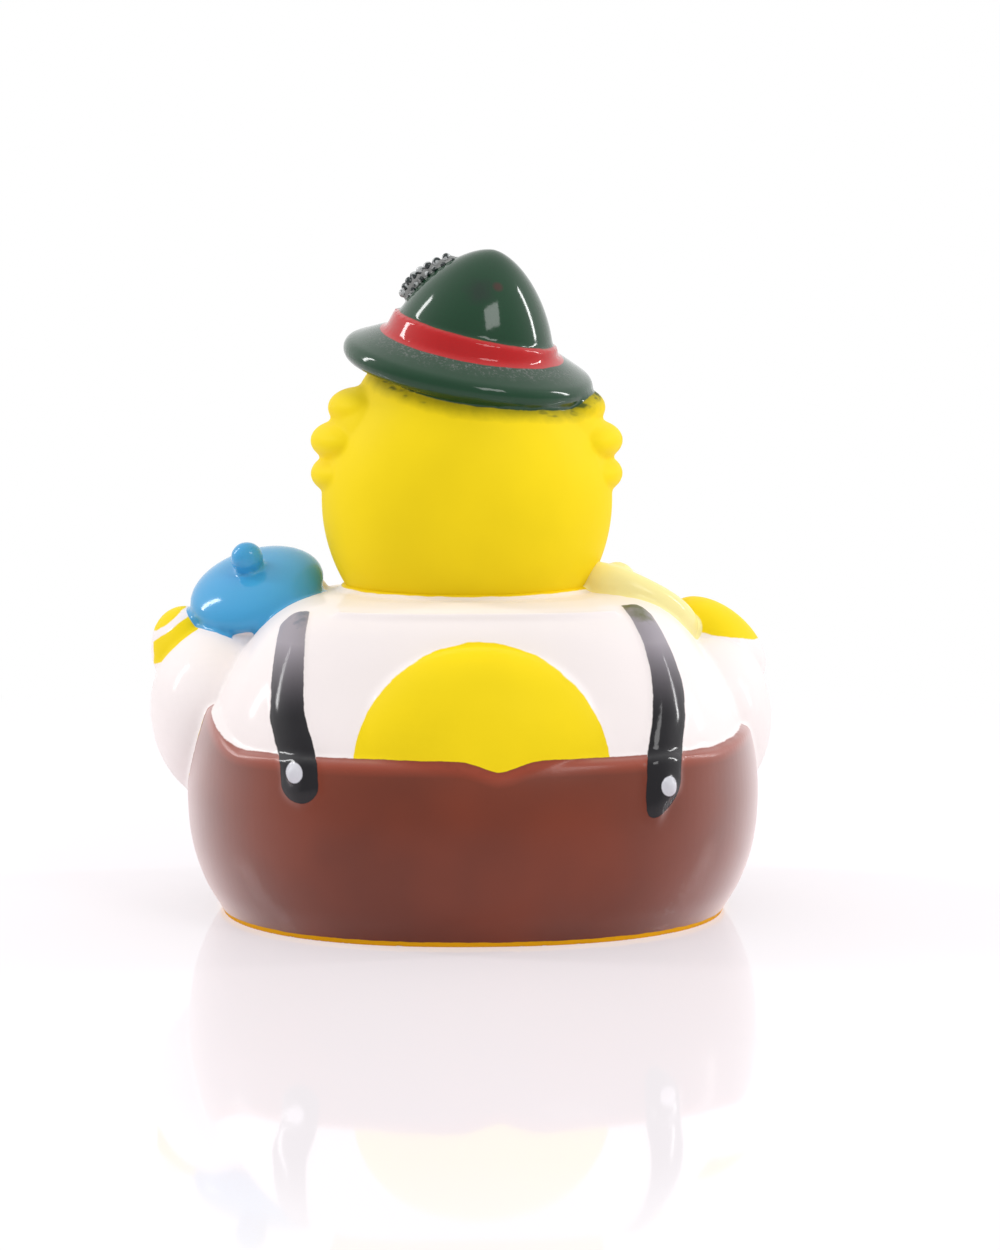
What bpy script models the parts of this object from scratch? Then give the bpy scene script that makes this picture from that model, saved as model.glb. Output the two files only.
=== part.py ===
"""A squeaking bath duck in country dress, with a whistle in its base.

The duck is one hollow vinyl moulding: body, head, hat, wings, tail, lidded mug and pretzel are a
single skin with a cavity inside. A whistle plug snaps into a stepped hole in the base, and a reed
disc lies inside the plug.

Metres, +Z up. The origin is on the table under the middle of the duck, which looks along +Y.
"""

import math

import bmesh
import bpy
from mathutils import Matrix, Vector
from mathutils.bvhtree import BVHTree

# Body: widest at the belly, then a back that slopes in to square shoulders
SHOULDER_HEIGHT = 0.0400
BELLY_HEIGHT = 0.0150
BELLY_HALF_WIDTH = 0.0348
BELLY_BACK = 0.0342
BELLY_FRONT = 0.0348
BASE_SQUARENESS = 2.25
SHOULDER_SQUARENESS = 3.2
# Each row is a level: its share of the shoulder height, then the shares of the belly's half width,
# of its reach to the back and of its reach to the front
BODY_LEVELS = (
    (-0.05, 0.860, 0.905, 0.850),
    (0.00, 0.872, 0.914, 0.862),
    (0.10, 0.938, 0.958, 0.920),
    (0.22, 0.984, 0.990, 0.972),
    (0.36, 1.000, 1.000, 1.000),
    (0.48, 0.992, 0.978, 1.000),
    (0.58, 0.968, 0.930, 0.984),
    (0.68, 0.924, 0.858, 0.936),
    (0.78, 0.858, 0.774, 0.862),
    (0.88, 0.770, 0.684, 0.770),
    (0.95, 0.680, 0.604, 0.670),
    (0.985, 0.580, 0.524, 0.570),
    (1.00, 0.440, 0.420, 0.440),
)

# Trousers: a skin that stands proud of the shirt up to the waist
TROUSER_STEP = 0.0010
WAIST_HEIGHT = 0.0226
WAIST_NOTCH = 0.0008
WAIST_RISE_LEFT = 0.0042
WAIST_RISE_RIGHT = 0.0012
WAIST_ROUND = 0.0012

# Head and collar
HEAD_HALF_WIDTH = 0.0185
HEAD_HALF_LENGTH = 0.0185
HEAD_HALF_HEIGHT = 0.0200
HEAD_FORWARD = 0.0040
HEAD_ABOVE_SHOULDERS = 0.0115
HEAD_TOP_RADIUS = 0.0148
HEAD_TOP_RISE = 0.0096
HEAD_TOP_HALF_HEIGHT = 0.0122
COLLAR_RADIUS = 0.0153
COLLAR_THICKNESS = 0.0024

# Hair: a pad of three lobes on each side of the head
HAIR_LOBE_HALF_WIDTH = 0.0050
HAIR_LOBE_HALF_LENGTH = 0.0085
HAIR_LOBE_HALF_HEIGHT = 0.0030
HAIR_PITCH = 0.0042
HAIR_REACH = 0.0146
HAIR_ABOVE_HEAD_CENTRE = 0.0074

# Bill
BILL_HALF_WIDTH = 0.0085
BILL_LENGTH = 0.0108
BILL_HALF_HEIGHT = 0.0030
BILL_BELOW_HEAD_CENTRE = 0.0020
BILL_ROOT = 0.0030

# Hat: crown, ribbon and a drooping brim, worn askew
HAT_SIDE_SHIFT = 0.0006
HAT_ABOVE_HEAD_CENTRE = 0.0191
HAT_TILT_RIGHT = 13.0
HAT_TILT_BACK = 6.0
CROWN_RADIUS = 0.0106
CROWN_HEIGHT = 0.0130
CROWN_SHOULDER = 1.4
CROWN_TIP = 0.625
HAT_FOOT_DEPTH = 0.0060
HAT_FOOT_FLARE = 1.12
RIBBON_HEIGHT = 0.0031
RIBBON_STEP = 0.0006
BRIM_TILT_RIGHT = 10.0
BRIM_TILT_BACK = 9.0
BRIM_RADIUS = 0.0161
BRIM_DROOP = 0.0024
BRIM_THICKNESS = 0.0030

# Feather: a blade on the side of the crown with beads along its edge
FEATHER_TURN = 12.0
FEATHER_STAND_OFF = 0.0016
FEATHER_THICKNESS = 0.0012
FEATHER_BEAD = 0.0012
FEATHER_BEADS = 8

# Tail
TAIL_HALF_WIDTH = 0.0194
TAIL_HALF_HEIGHT = 0.0176
TAIL_HALF_LENGTH = 0.0114
TAIL_INSET = 0.0118
TAIL_BELOW_WAIST = 0.0046
TAIL_LEAN = 8.0

# Wings: a sleeve on each side with a bare hand above it
SLEEVE_HALF_WIDTH = 0.0092
SLEEVE_HALF_LENGTH = 0.0158
SLEEVE_HALF_HEIGHT = 0.0118
SLEEVE_INSET = 0.0046
SLEEVE_FORWARD = 0.0070
SLEEVE_BELOW_SHOULDERS = 0.0174
SLEEVE_LIFT_LEFT = 0.0014
SLEEVE_REACH_LEFT = 0.0008
SLEEVE_SPLAY = 8.0
HAND_HALF_WIDTH = 0.0050
HAND_HALF_LENGTH = 0.0082
HAND_HALF_HEIGHT = 0.0064
HAND_FORWARD = 0.0030
HAND_OUT_RIGHT = 0.0022
HAND_OUT_LEFT = 0.0044
HAND_RISE_RIGHT = 0.0094
HAND_RISE_LEFT = 0.0070
CUFF_THICKNESS = 0.0016

# Braces: a raised strap over each shoulder with a button at each end
STRAP_WIDTH = 0.0040
STRAP_STEP = 0.0006
STRAP_TOP_REACH = 0.0204
STRAP_SIDE_REACH = 0.0232
STRAP_END_REACH = 0.0222
STRAP_END_ANGLE = 4.0
BUTTON_RADIUS = 0.0012
BUTTON_STEP = 0.0004
BUTTON_ANGLE = 10.0

# Lidded mug in the crook of the left wing
MUG_INSET = 0.0080
MUG_FORWARD = 0.0070
MUG_BELOW_SHOULDERS = 0.0004
MUG_LEAN_LEFT = 16.0
MUG_LEAN_BACK = 24.0
MUG_RADIUS = 0.0070
MUG_LENGTH = 0.0160
LID_RADIUS = 0.0088
LID_HEIGHT = 0.0033
LID_RIM = 0.0010
KNOB_RADIUS = 0.0021
MUG_HANDLE_THICKNESS = 0.0024
MUG_HANDLE_REACH = 0.0052

# Pretzel across the right shoulder
PRETZEL_INSET = 0.0134
PRETZEL_FORWARD = 0.0036
PRETZEL_BELOW_SHOULDERS = 0.0006
PRETZEL_HALF_WIDTH = 0.0064
PRETZEL_DEPTH = 0.0110
PRETZEL_ROPE = 0.0048
PRETZEL_DRAPE = 0.0011
PRETZEL_SLOPE = 30.0
PRETZEL_PITCH = 18.0

# Wall, and the stepped hole that the whistle snaps into
WALL = 0.0020
BASE_WALL = 0.0028
HOLE_RADIUS = 0.0060
RECESS_RADIUS = 0.0082
RECESS_DEPTH = 0.0012

# Whistle plug and reed
SEAT_GAP = 0.0003
PLUG_RECESS = 0.0003
PLUG_WALL = 0.0012
PLUG_LIP = 0.0009
PLUG_LIP_HEIGHT = 0.0012
PLUG_HEIGHT = 0.0085
SOUND_HOLE_RADIUS = 0.0010
REED_THICKNESS = 0.0005
REED_HEIGHT = 0.0044
TONGUE_WIDTH = 0.0016
TONGUE_SLIT = 0.0004

# Fineness of the moulded skin and of the facets that are kept
SKIN_VOXEL = 0.0006
SKIN_SOFTENING = 5
SKIN_FACETS = 5200
CAVITY_VOXEL = 0.0012
CAVITY_FACETS = 1000
PLUG_SEGMENTS = 40

# What stands below the table before the base is cut flat
BELOW_BASE = 0.0020

VINYL_YELLOW = (0.90, 0.66, 0.03)
PLUG_WHITE = (0.85, 0.85, 0.83)
REED_STEEL = (0.60, 0.60, 0.62)


def clear_scene():
    for obj in list(bpy.data.objects):
        bpy.data.objects.remove(obj, do_unlink=True)


def material(name, colour, roughness, metallic=0.0):
    made = bpy.data.materials.new(name)
    made.use_nodes = True
    shader = made.node_tree.nodes["Principled BSDF"]
    shader.inputs["Base Color"].default_value = (*colour, 1.0)
    shader.inputs["Roughness"].default_value = roughness
    shader.inputs["Metallic"].default_value = metallic
    return made


def mix(low, high, share):
    return low + (high - low) * share


def smooth_step(low, high, value):
    share = min(1.0, max(0.0, (value - low) / (high - low)))
    return share * share * (3.0 - 2.0 * share)


def turned(right, back, about_z=0.0):
    """Rotation that leans a form's top to the right (+X) and back (-Y), in degrees."""
    lean = Matrix.Rotation(math.radians(right), 4, "Y") @ Matrix.Rotation(math.radians(back), 4, "X")
    return Matrix.Rotation(math.radians(about_z), 4, "Z") @ lean


def ellipsoid(form, centre, radii, rotation=None, segments=48):
    turn = rotation or Matrix.Identity(4)
    place = Matrix.Translation(Vector(centre)) @ turn @ Matrix.Diagonal((*radii, 1.0))
    bmesh.ops.create_uvsphere(form, u_segments=segments, v_segments=segments // 2, radius=1.0, matrix=place)


def cylinder(form, bottom, radius, height, segments):
    middle = Vector(bottom) + Vector((0.0, 0.0, height / 2))
    bmesh.ops.create_cone(
        form, cap_ends=True, segments=segments, radius1=radius, radius2=radius, depth=height,
        matrix=Matrix.Translation(middle),
    )


def rings_to_solid(form, rings):
    """Joins closed rings of points, lowest first, into a skin with a face over each end."""
    loops = [[form.verts.new(point) for point in ring] for ring in rings]
    for low, high in zip(loops, loops[1:]):
        for i in range(len(low)):
            j = (i + 1) % len(low)
            form.faces.new((low[i], low[j], high[j], high[i]))
    form.faces.new(list(reversed(loops[0])))
    form.faces.new(loops[-1])


def spun(form, profile, place, segments=64):
    """Turns a closed outline of (radius, height) points, outer side upwards, round the Z axis."""
    rings = []
    for radius, height in profile:
        angles = [2 * math.pi * i / segments for i in range(segments)]
        rings.append([place @ Vector((radius * math.cos(a), radius * math.sin(a), height)) for a in angles])
    loops = [[form.verts.new(point) for point in ring] for ring in rings]
    for low, high in zip(loops, loops[1:] + loops[:1]):
        for i in range(segments):
            j = (i + 1) % segments
            form.faces.new((low[i], low[j], high[j], high[i]))


def tube(form, points, radius, segments=16):
    """A rope of round section with domed ends along a list of points."""
    rings = []
    for i, point in enumerate(points):
        ahead = points[min(i + 1, len(points) - 1)] - points[max(i - 1, 0)]
        turn = ahead.to_track_quat("Z", "Y").to_matrix()
        angles = [2 * math.pi * k / segments for k in range(segments)]
        rings.append([
            point + turn @ Vector((radius * math.cos(a), radius * math.sin(a), 0.0)) for a in angles
        ])
    rings_to_solid(form, rings)
    for end in (points[0], points[-1]):
        ellipsoid(form, end, (radius,) * 3, segments=segments)


def body_level(height):
    """Half width and the reach to the back and the front at a height, from the rows of levels."""
    share = height / SHOULDER_HEIGHT
    rows = BODY_LEVELS
    i = 0
    while i < len(rows) - 2 and share > rows[i + 1][0]:
        i += 1
    before, low, high, after = rows[max(i - 1, 0)], rows[i], rows[i + 1], rows[min(i + 2, len(rows) - 1)]
    gap = high[0] - low[0]
    t = min(1.0, max(0.0, (share - low[0]) / gap))
    sizes = []
    for k, full in ((1, BELLY_HALF_WIDTH), (2, BELLY_BACK), (3, BELLY_FRONT)):
        low_slope = gap * (high[k] - before[k]) / (high[0] - before[0])
        high_slope = gap * (after[k] - low[k]) / (after[0] - low[0])
        value = (
            (2 * t**3 - 3 * t**2 + 1) * low[k] + (t**3 - 2 * t**2 + t) * low_slope
            + (3 * t**2 - 2 * t**3) * high[k] + (t**3 - t**2) * high_slope
        )
        sizes.append(value * full)
    return sizes


def body_point(angle, height, outset=0.0):
    """A point of the body's skin: angle 0 is the back, a quarter turn the right side."""
    half_width, back, front = body_level(height)
    side, along = math.sin(angle), math.cos(angle)
    reach = back if along > 0 else front
    squareness = mix(BASE_SQUARENESS, SHOULDER_SQUARENESS, smooth_step(0.4, 1.0, height / SHOULDER_HEIGHT))
    power = 2.0 / squareness
    x = math.copysign(abs(side) ** power, side) * (half_width + outset)
    y = -math.copysign(abs(along) ** power, along) * (reach + outset)
    return Vector((x, y, height))


def ring_angles(count=72):
    return [2 * math.pi * i / count for i in range(count)]


def shirt(form, inset=0.0, bottom=-BELOW_BASE, levels=40):
    """The body's skin, drawn in by inset at its sides and its top."""
    squeeze = (SHOULDER_HEIGHT - inset) / SHOULDER_HEIGHT
    rings = []
    for i in range(levels + 1):
        height = mix(bottom / squeeze, SHOULDER_HEIGHT, math.sin(math.pi / 2 * i / levels))
        rings.append([body_point(a, height, -inset) for a in ring_angles()])
        for point in rings[-1]:
            point.z *= squeeze
    rings_to_solid(form, rings)


def waist_height(angle):
    """Height of the trousers' edge: a small notch at the tail, and a rise under each wing."""
    turn = (angle + math.pi) % (2 * math.pi) - math.pi
    rise = WAIST_RISE_RIGHT if turn > 0 else WAIST_RISE_LEFT
    climb = smooth_step(math.radians(52), math.radians(78), abs(turn))
    notch = WAIST_NOTCH * math.exp(-((turn / math.radians(7)) ** 2))
    return WAIST_HEIGHT + rise * climb - notch


def trousers(form, levels=20, turns=6):
    """The skin up to the waist, then a rounded edge that dives under the shirt."""
    rings = []
    for i in range(levels + 1):
        ring = []
        for angle in ring_angles():
            height = mix(-BELOW_BASE, waist_height(angle) - WAIST_ROUND, i / levels)
            ring.append(body_point(angle, height, TROUSER_STEP))
        rings.append(ring)
    for i in range(1, turns + 1):
        bend = math.pi / 2 * i / turns
        ring = []
        for angle in ring_angles():
            height = waist_height(angle) - WAIST_ROUND * (1 - math.sin(bend))
            outset = TROUSER_STEP - WAIST_ROUND * (1 - math.cos(bend))
            ring.append(body_point(angle, height, outset))
        rings.append(ring)
    rings_to_solid(form, rings)


def head_centre():
    return Vector((0.0, HEAD_FORWARD, SHOULDER_HEIGHT + HEAD_ABOVE_SHOULDERS))


def head(form, inset=0.0):
    radii = (HEAD_HALF_WIDTH - inset, HEAD_HALF_LENGTH - inset, HEAD_HALF_HEIGHT - inset)
    ellipsoid(form, head_centre(), radii, segments=64)
    top = (HEAD_TOP_RADIUS - inset, HEAD_TOP_RADIUS - inset, HEAD_TOP_HALF_HEIGHT - inset)
    ellipsoid(form, head_centre() + Vector((0.0, 0.0, HEAD_TOP_RISE)), top, segments=64)


def ring_tube(form, centre, radius, thickness, rotation=None, segments=64):
    """A torus lying flat."""
    section = [
        (radius + thickness / 2 * math.cos(a), thickness / 2 * math.sin(a))
        for a in (2 * math.pi * i / 16 for i in range(16))
    ]
    spun(form, section, Matrix.Translation(centre) @ (rotation or Matrix.Identity(4)), segments)


def collar(form):
    centre = Vector((0.0, HEAD_FORWARD, SHOULDER_HEIGHT))
    ring_tube(form, centre, COLLAR_RADIUS, COLLAR_THICKNESS)


def hair(form, side):
    centre = head_centre()
    for i in range(3):
        in_middle = 1.0 - abs(i - 1)
        reach = HAIR_REACH - (0.0022 if i == 0 else 0.0)
        height = centre.z + HAIR_ABOVE_HEAD_CENTRE + HAIR_PITCH * (1 - i)
        lobe = (side * reach, centre.y - 0.0005, height)
        radii = (HAIR_LOBE_HALF_WIDTH, HAIR_LOBE_HALF_LENGTH + 0.0005 * in_middle, HAIR_LOBE_HALF_HEIGHT)
        ellipsoid(form, lobe, radii, turned(0, 0, side * -8))


def bill(form):
    root = head_centre() + Vector((0.0, HEAD_HALF_LENGTH - BILL_ROOT, -BILL_BELOW_HEAD_CENTRE))
    upper = (BILL_HALF_WIDTH, BILL_LENGTH, BILL_HALF_HEIGHT)
    lower = (BILL_HALF_WIDTH * 0.84, BILL_LENGTH * 0.84, BILL_HALF_HEIGHT * 0.80)
    ellipsoid(form, root, upper, turned(0, 9))
    ellipsoid(form, root - Vector((0.0, 0.0, BILL_HALF_HEIGHT)), lower, turned(0, -3))


def hat_place(tilt_right, tilt_back):
    seat = head_centre() + Vector((HAT_SIDE_SHIFT, 0.0, HAT_ABOVE_HEAD_CENTRE))
    return Matrix.Translation(seat) @ turned(tilt_right, tilt_back)


def crown_radius(height):
    """Radius of the crown at a height above the ribbon's lower edge."""
    share = min(1.0, max(0.0, height / CROWN_HEIGHT))
    return CROWN_RADIUS * (1.0 - share**CROWN_SHOULDER) ** CROWN_TIP


def hat(form):
    place = hat_place(HAT_TILT_RIGHT, HAT_TILT_BACK)
    steps = 28
    rings = []
    for i in range(steps):
        height = CROWN_HEIGHT * math.sin(math.pi / 2 * i / steps)
        radius = crown_radius(height)
        rings.append([
            place @ Vector((radius * math.cos(a), radius * math.sin(a), height)) for a in ring_angles(64)
        ])
    foot = CROWN_RADIUS * HAT_FOOT_FLARE
    low = [
        place @ Vector((foot * math.cos(a), foot * math.sin(a), -HAT_FOOT_DEPTH)) for a in ring_angles(64)
    ]
    rings_to_solid(form, [low] + rings)
    ribbon(form, place)
    brim(form)
    feather(form, place)


def ribbon(form, place):
    """A band round the crown, a little proud of it."""
    low, high = crown_radius(0.0) + RIBBON_STEP, crown_radius(RIBBON_HEIGHT) + RIBBON_STEP
    deep = 0.003
    outline = [
        (low, -0.0004), (low, 0.0004), (high, RIBBON_HEIGHT), (high - deep, RIBBON_HEIGHT),
        (low - deep, -0.0004),
    ]
    spun(form, outline, place)


def brim(form):
    """A cone that droops outwards, with a thick round edge."""
    place = hat_place(BRIM_TILT_RIGHT, BRIM_TILT_BACK)
    half = BRIM_THICKNESS / 2
    edge = BRIM_RADIUS - half
    root = CROWN_RADIUS * 0.5
    fall = BRIM_DROOP / (edge - CROWN_RADIUS)
    slope = math.atan(fall)
    outline = [(root, -3 * half)]
    for i in range(13):
        turn = -math.pi / 2 - slope + math.pi * i / 12
        outline.append((edge + half * math.cos(turn), -BRIM_DROOP + half * math.sin(turn)))
    outline.append((CROWN_RADIUS, half * 0.8))
    outline.append((root, half * 0.8))
    spun(form, outline, place)


def feather(form, place):
    """A blade up the left of the crown, with a row of beads on its outer edge."""
    direction = math.radians(180 - FEATHER_TURN)
    out = Vector((math.cos(direction), math.sin(direction), 0.0))
    for i in range(FEATHER_BEADS):
        share = i / (FEATHER_BEADS - 1)
        height = mix(RIBBON_HEIGHT + 0.0016, CROWN_HEIGHT * 0.90, share)
        stand_off = FEATHER_STAND_OFF * math.sin(math.pi * mix(0.18, 0.88, share))
        reach = crown_radius(height) + stand_off
        edge = place @ (out * reach + Vector((0.0, 0.0, height)))
        root = place @ (out * (reach - 0.0030) + Vector((0.0, 0.0, height - 0.0005)))
        ellipsoid(form, edge, (FEATHER_BEAD / 2,) * 3, segments=16)
        tube(form, [root, edge], FEATHER_THICKNESS / 2, segments=10)


def tail(form, inset=0.0):
    centre = (0.0, -(BELLY_BACK - TAIL_INSET), WAIST_HEIGHT - TAIL_BELOW_WAIST)
    radii = (TAIL_HALF_WIDTH - inset, TAIL_HALF_LENGTH - inset, TAIL_HALF_HEIGHT - inset)
    ellipsoid(form, centre, radii, turned(0, TAIL_LEAN))


def sleeve_centre(side):
    left = 1.0 if side < 0 else 0.0
    return Vector((
        side * (BELLY_HALF_WIDTH - SLEEVE_INSET + left * SLEEVE_REACH_LEFT),
        SLEEVE_FORWARD,
        SHOULDER_HEIGHT - SLEEVE_BELOW_SHOULDERS + left * SLEEVE_LIFT_LEFT,
    ))


def sleeve(form, side, inset=0.0):
    radii = (SLEEVE_HALF_WIDTH - inset, SLEEVE_HALF_LENGTH - inset, SLEEVE_HALF_HEIGHT - inset)
    ellipsoid(form, sleeve_centre(side), radii, turned(side * SLEEVE_SPLAY, 0, side * 6))


def hand(form, side):
    radii = (HAND_HALF_WIDTH, HAND_HALF_LENGTH, HAND_HALF_HEIGHT)
    ellipsoid(form, hand_centre(side), radii, turned(side * 20, 0))


def cuff(form):
    """A thin rolled edge round the left hand."""
    centre = hand_centre(-1)
    rotation = turned(-38, 0)
    ring_tube(form, centre, HAND_HALF_WIDTH * 1.02, CUFF_THICKNESS, rotation)


def hand_centre(side):
    out = HAND_OUT_RIGHT if side > 0 else HAND_OUT_LEFT
    rise = HAND_RISE_RIGHT if side > 0 else HAND_RISE_LEFT
    return sleeve_centre(side) + Vector((side * out, HAND_FORWARD, rise))


def strap_reach(angle):
    """How far a strap lies from the middle of the duck, at an angle round its shoulders."""
    flat = abs(math.cos(angle))
    reach = mix(STRAP_TOP_REACH, STRAP_SIDE_REACH, smooth_step(0.50, 0.90, flat))
    return mix(reach, STRAP_END_REACH, smooth_step(0.90, 1.0, flat))


def on_body(skin, x, angle):
    """The outermost point of the dressed body on a ray at an angle from its middle, and the ray."""
    ray = Vector((0.0, math.cos(angle), math.sin(angle)))
    far = Vector((x, 0.0, BELLY_HEIGHT)) + ray * 0.2
    hit = skin.ray_cast(far, -ray)[0]
    return hit, ray


def strap(form, skin, side, steps=60, across=6):
    """A ribbon that follows the shirt and trousers from the back to the front."""
    first = math.pi - math.radians(STRAP_END_ANGLE)
    last = math.radians(STRAP_END_ANGLE)
    outer, inner = [], []
    for i in range(steps + 1):
        angle = mix(first, last, i / steps)
        near_end = min(i, steps - i) / (steps * 0.06)
        half = STRAP_WIDTH / 2 * math.sqrt(min(1.0, 0.25 + 0.75 * near_end))
        out_row, in_row = [], []
        for j in range(across + 1):
            share = 2.0 * j / across - 1.0
            hit, ray = on_body(skin, side * strap_reach(angle) + half * share, angle)
            step = STRAP_STEP * (1.0 - 0.5 * share**4)
            out_row.append(hit + ray * step)
            in_row.append(hit - ray * 0.002)
        outer.append(out_row)
        inner.append(in_row)
    rings = [out_row + list(reversed(in_row)) for out_row, in_row in zip(outer, inner)]
    if side < 0:
        rings = [list(reversed(ring)) for ring in rings]
    rings_to_solid(form, [list(reversed(ring)) for ring in rings])


def button(form, skin, side, angle):
    hit, ray = on_body(skin, side * strap_reach(angle), angle)
    turn = ray.to_track_quat("Z", "Y").to_matrix().to_4x4()
    radii = (BUTTON_RADIUS, BUTTON_RADIUS * 1.2, BUTTON_STEP * 2)
    ellipsoid(form, hit + ray * STRAP_STEP, radii, turn, segments=20)


def braces(form):
    """Straps and buttons, laid on the skin of the shirt and the trousers."""
    dressed = bmesh.new()
    shirt(dressed)
    trousers(dressed)
    skin = BVHTree.FromBMesh(dressed)
    dressed.free()
    for side in (-1, 1):
        strap(form, skin, side)
        for angle in (180 - BUTTON_ANGLE, BUTTON_ANGLE):
            button(form, skin, side, math.radians(angle))


def mug_place():
    rim = Vector((MUG_INSET - BELLY_HALF_WIDTH, MUG_FORWARD, SHOULDER_HEIGHT - MUG_BELOW_SHOULDERS))
    return Matrix.Translation(rim) @ turned(-MUG_LEAN_LEFT, MUG_LEAN_BACK)


def mug(form):
    """A tapered mug under a domed lid with a knob."""
    place = mug_place()
    steps = 12
    rings = []
    outline = ((MUG_RADIUS * 1.12, -MUG_LENGTH), (MUG_RADIUS, -MUG_LENGTH * 0.45), (MUG_RADIUS, 0.0005))
    for radius, height in outline:
        rings.append([
            place @ Vector((radius * math.cos(a), radius * math.sin(a), height)) for a in ring_angles(48)
        ])
    rings_to_solid(form, rings)
    lid = [(LID_RADIUS - LID_RIM / 2, -LID_RIM), (LID_RADIUS, -LID_RIM / 3), (LID_RADIUS, LID_RIM / 4)]
    for i in range(1, steps):
        bend = math.pi / 2 * i / steps
        lid.append((LID_RADIUS * math.cos(bend) ** 0.8, LID_HEIGHT * math.sin(bend)))
    rings = [
        [place @ Vector((radius * math.cos(a), radius * math.sin(a), height)) for a in ring_angles(56)]
        for radius, height in lid
    ]
    rings_to_solid(form, rings)
    top = place @ Vector((0.0, 0.0, LID_HEIGHT + KNOB_RADIUS * 0.75))
    ellipsoid(form, top, (KNOB_RADIUS,) * 3, segments=32)
    handle(form, place)


def handle(form, place):
    """A looped handle on the front of the mug."""
    direction = math.radians(70)
    out = Vector((math.cos(direction), math.sin(direction), 0.0))
    points = []
    for i in range(17):
        bend = math.pi * i / 16
        reach = MUG_RADIUS - MUG_HANDLE_THICKNESS / 3 + MUG_HANDLE_REACH * math.sin(bend)
        height = MUG_LENGTH * (0.26 * math.cos(bend) - 0.42)
        points.append(place @ (out * reach + Vector((0.0, 0.0, height))))
    tube(form, points, MUG_HANDLE_THICKNESS / 2)


def pretzel_points(count=72):
    """The rope of a pretzel: two lobes, a crossing, and ends laid back on the rim."""
    half_turn = math.radians(228)
    points = []
    for i in range(count + 1):
        angle = mix(-half_turn, half_turn, i / count)
        swing = abs(angle) / half_turn
        wide = math.sin(angle) * (1.0 + 0.12 * math.sin(abs(angle)))
        deep = math.cos(angle)
        inward = smooth_step(0.62, 1.0, swing)
        wide = math.copysign(abs(wide) ** 0.75, wide)
        x = PRETZEL_HALF_WIDTH * wide * (1.0 - 0.35 * inward)
        y = -PRETZEL_DEPTH * 0.5 * deep - PRETZEL_DEPTH * 0.62 * inward
        lift = PRETZEL_ROPE * 0.42 * inward * (1.0 if angle > 0 else 0.55)
        lift -= PRETZEL_DRAPE * (x / PRETZEL_HALF_WIDTH) ** 2
        points.append(Vector((x, y, lift)))
    return points


def pretzel(form):
    centre = Vector((
        BELLY_HALF_WIDTH - PRETZEL_INSET, PRETZEL_FORWARD, SHOULDER_HEIGHT - PRETZEL_BELOW_SHOULDERS,
    ))
    place = Matrix.Translation(centre) @ turned(PRETZEL_SLOPE, -PRETZEL_PITCH)
    tube(form, [place @ point for point in pretzel_points()], PRETZEL_ROPE / 2, segments=20)


def skin_form():
    form = bmesh.new()
    shirt(form)
    trousers(form)
    collar(form)
    head(form)
    bill(form)
    hat(form)
    tail(form)
    for side in (-1, 1):
        hair(form, side)
        sleeve(form, side)
        hand(form, side)
    cuff(form)
    mug(form)
    pretzel(form)
    braces(form)
    return form


def cavity_form():
    """The hollow: the large forms drawn in by the wall."""
    form = bmesh.new()
    shirt(form, inset=WALL, bottom=BASE_WALL, levels=28)
    head(form, inset=WALL)
    for side in (-1, 1):
        sleeve(form, side, inset=WALL + 0.0006)
    return form


def to_object(name, form, made_of=None):
    mesh = bpy.data.meshes.new(name)
    bmesh.ops.recalc_face_normals(form, faces=form.faces)
    form.to_mesh(mesh)
    form.free()
    mesh.shade_smooth()
    mesh.set_sharp_from_angle(angle=math.radians(35))
    obj = bpy.data.objects.new(name, mesh)
    bpy.context.scene.collection.objects.link(obj)
    if made_of:
        mesh.materials.append(made_of)
    return obj


def as_cutter(obj):
    obj.hide_render = True
    obj.display_type = "WIRE"
    return obj


def mould(obj, voxel, softening, facets):
    """Melts overlapping forms into one skin with soft inner corners, and thins its facets."""
    melt = obj.modifiers.new("melt", "REMESH")
    melt.mode = "VOXEL"
    melt.voxel_size = voxel
    melt.use_smooth_shade = True
    soften = obj.modifiers.new("soften", "SMOOTH")
    soften.factor = 0.5
    soften.iterations = softening
    bpy.context.view_layer.update()
    evaluated = obj.evaluated_get(bpy.context.evaluated_depsgraph_get())
    found = sum(len(face.vertices) - 2 for face in evaluated.data.polygons)
    thin = obj.modifiers.new("thin", "DECIMATE")
    thin.ratio = min(1.0, facets / found)


def cut(obj, cutter):
    boolean = obj.modifiers.new("cut_" + cutter.name, "BOOLEAN")
    boolean.operation = "DIFFERENCE"
    boolean.solver = "EXACT"
    boolean.object = cutter


def table_cutter():
    """A block whose top face cuts the base flat."""
    form = bmesh.new()
    place = Matrix.Translation((0, 0, -0.05)) @ Matrix.Diagonal((0.2, 0.2, 0.1, 1.0))
    bmesh.ops.create_cube(form, size=1.0, matrix=place)
    return as_cutter(to_object("table_cutter", form))


def hole_cutter():
    """The stepped hole in the base wall."""
    form = bmesh.new()
    past = 0.002
    outline = [
        (0.0, -past),
        (RECESS_RADIUS, -past),
        (RECESS_RADIUS, RECESS_DEPTH),
        (HOLE_RADIUS, RECESS_DEPTH),
        (HOLE_RADIUS, BASE_WALL + past),
        (0.0, BASE_WALL + past),
    ]
    turned_solid(form, outline)
    return as_cutter(to_object("hole_cutter", form))


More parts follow.
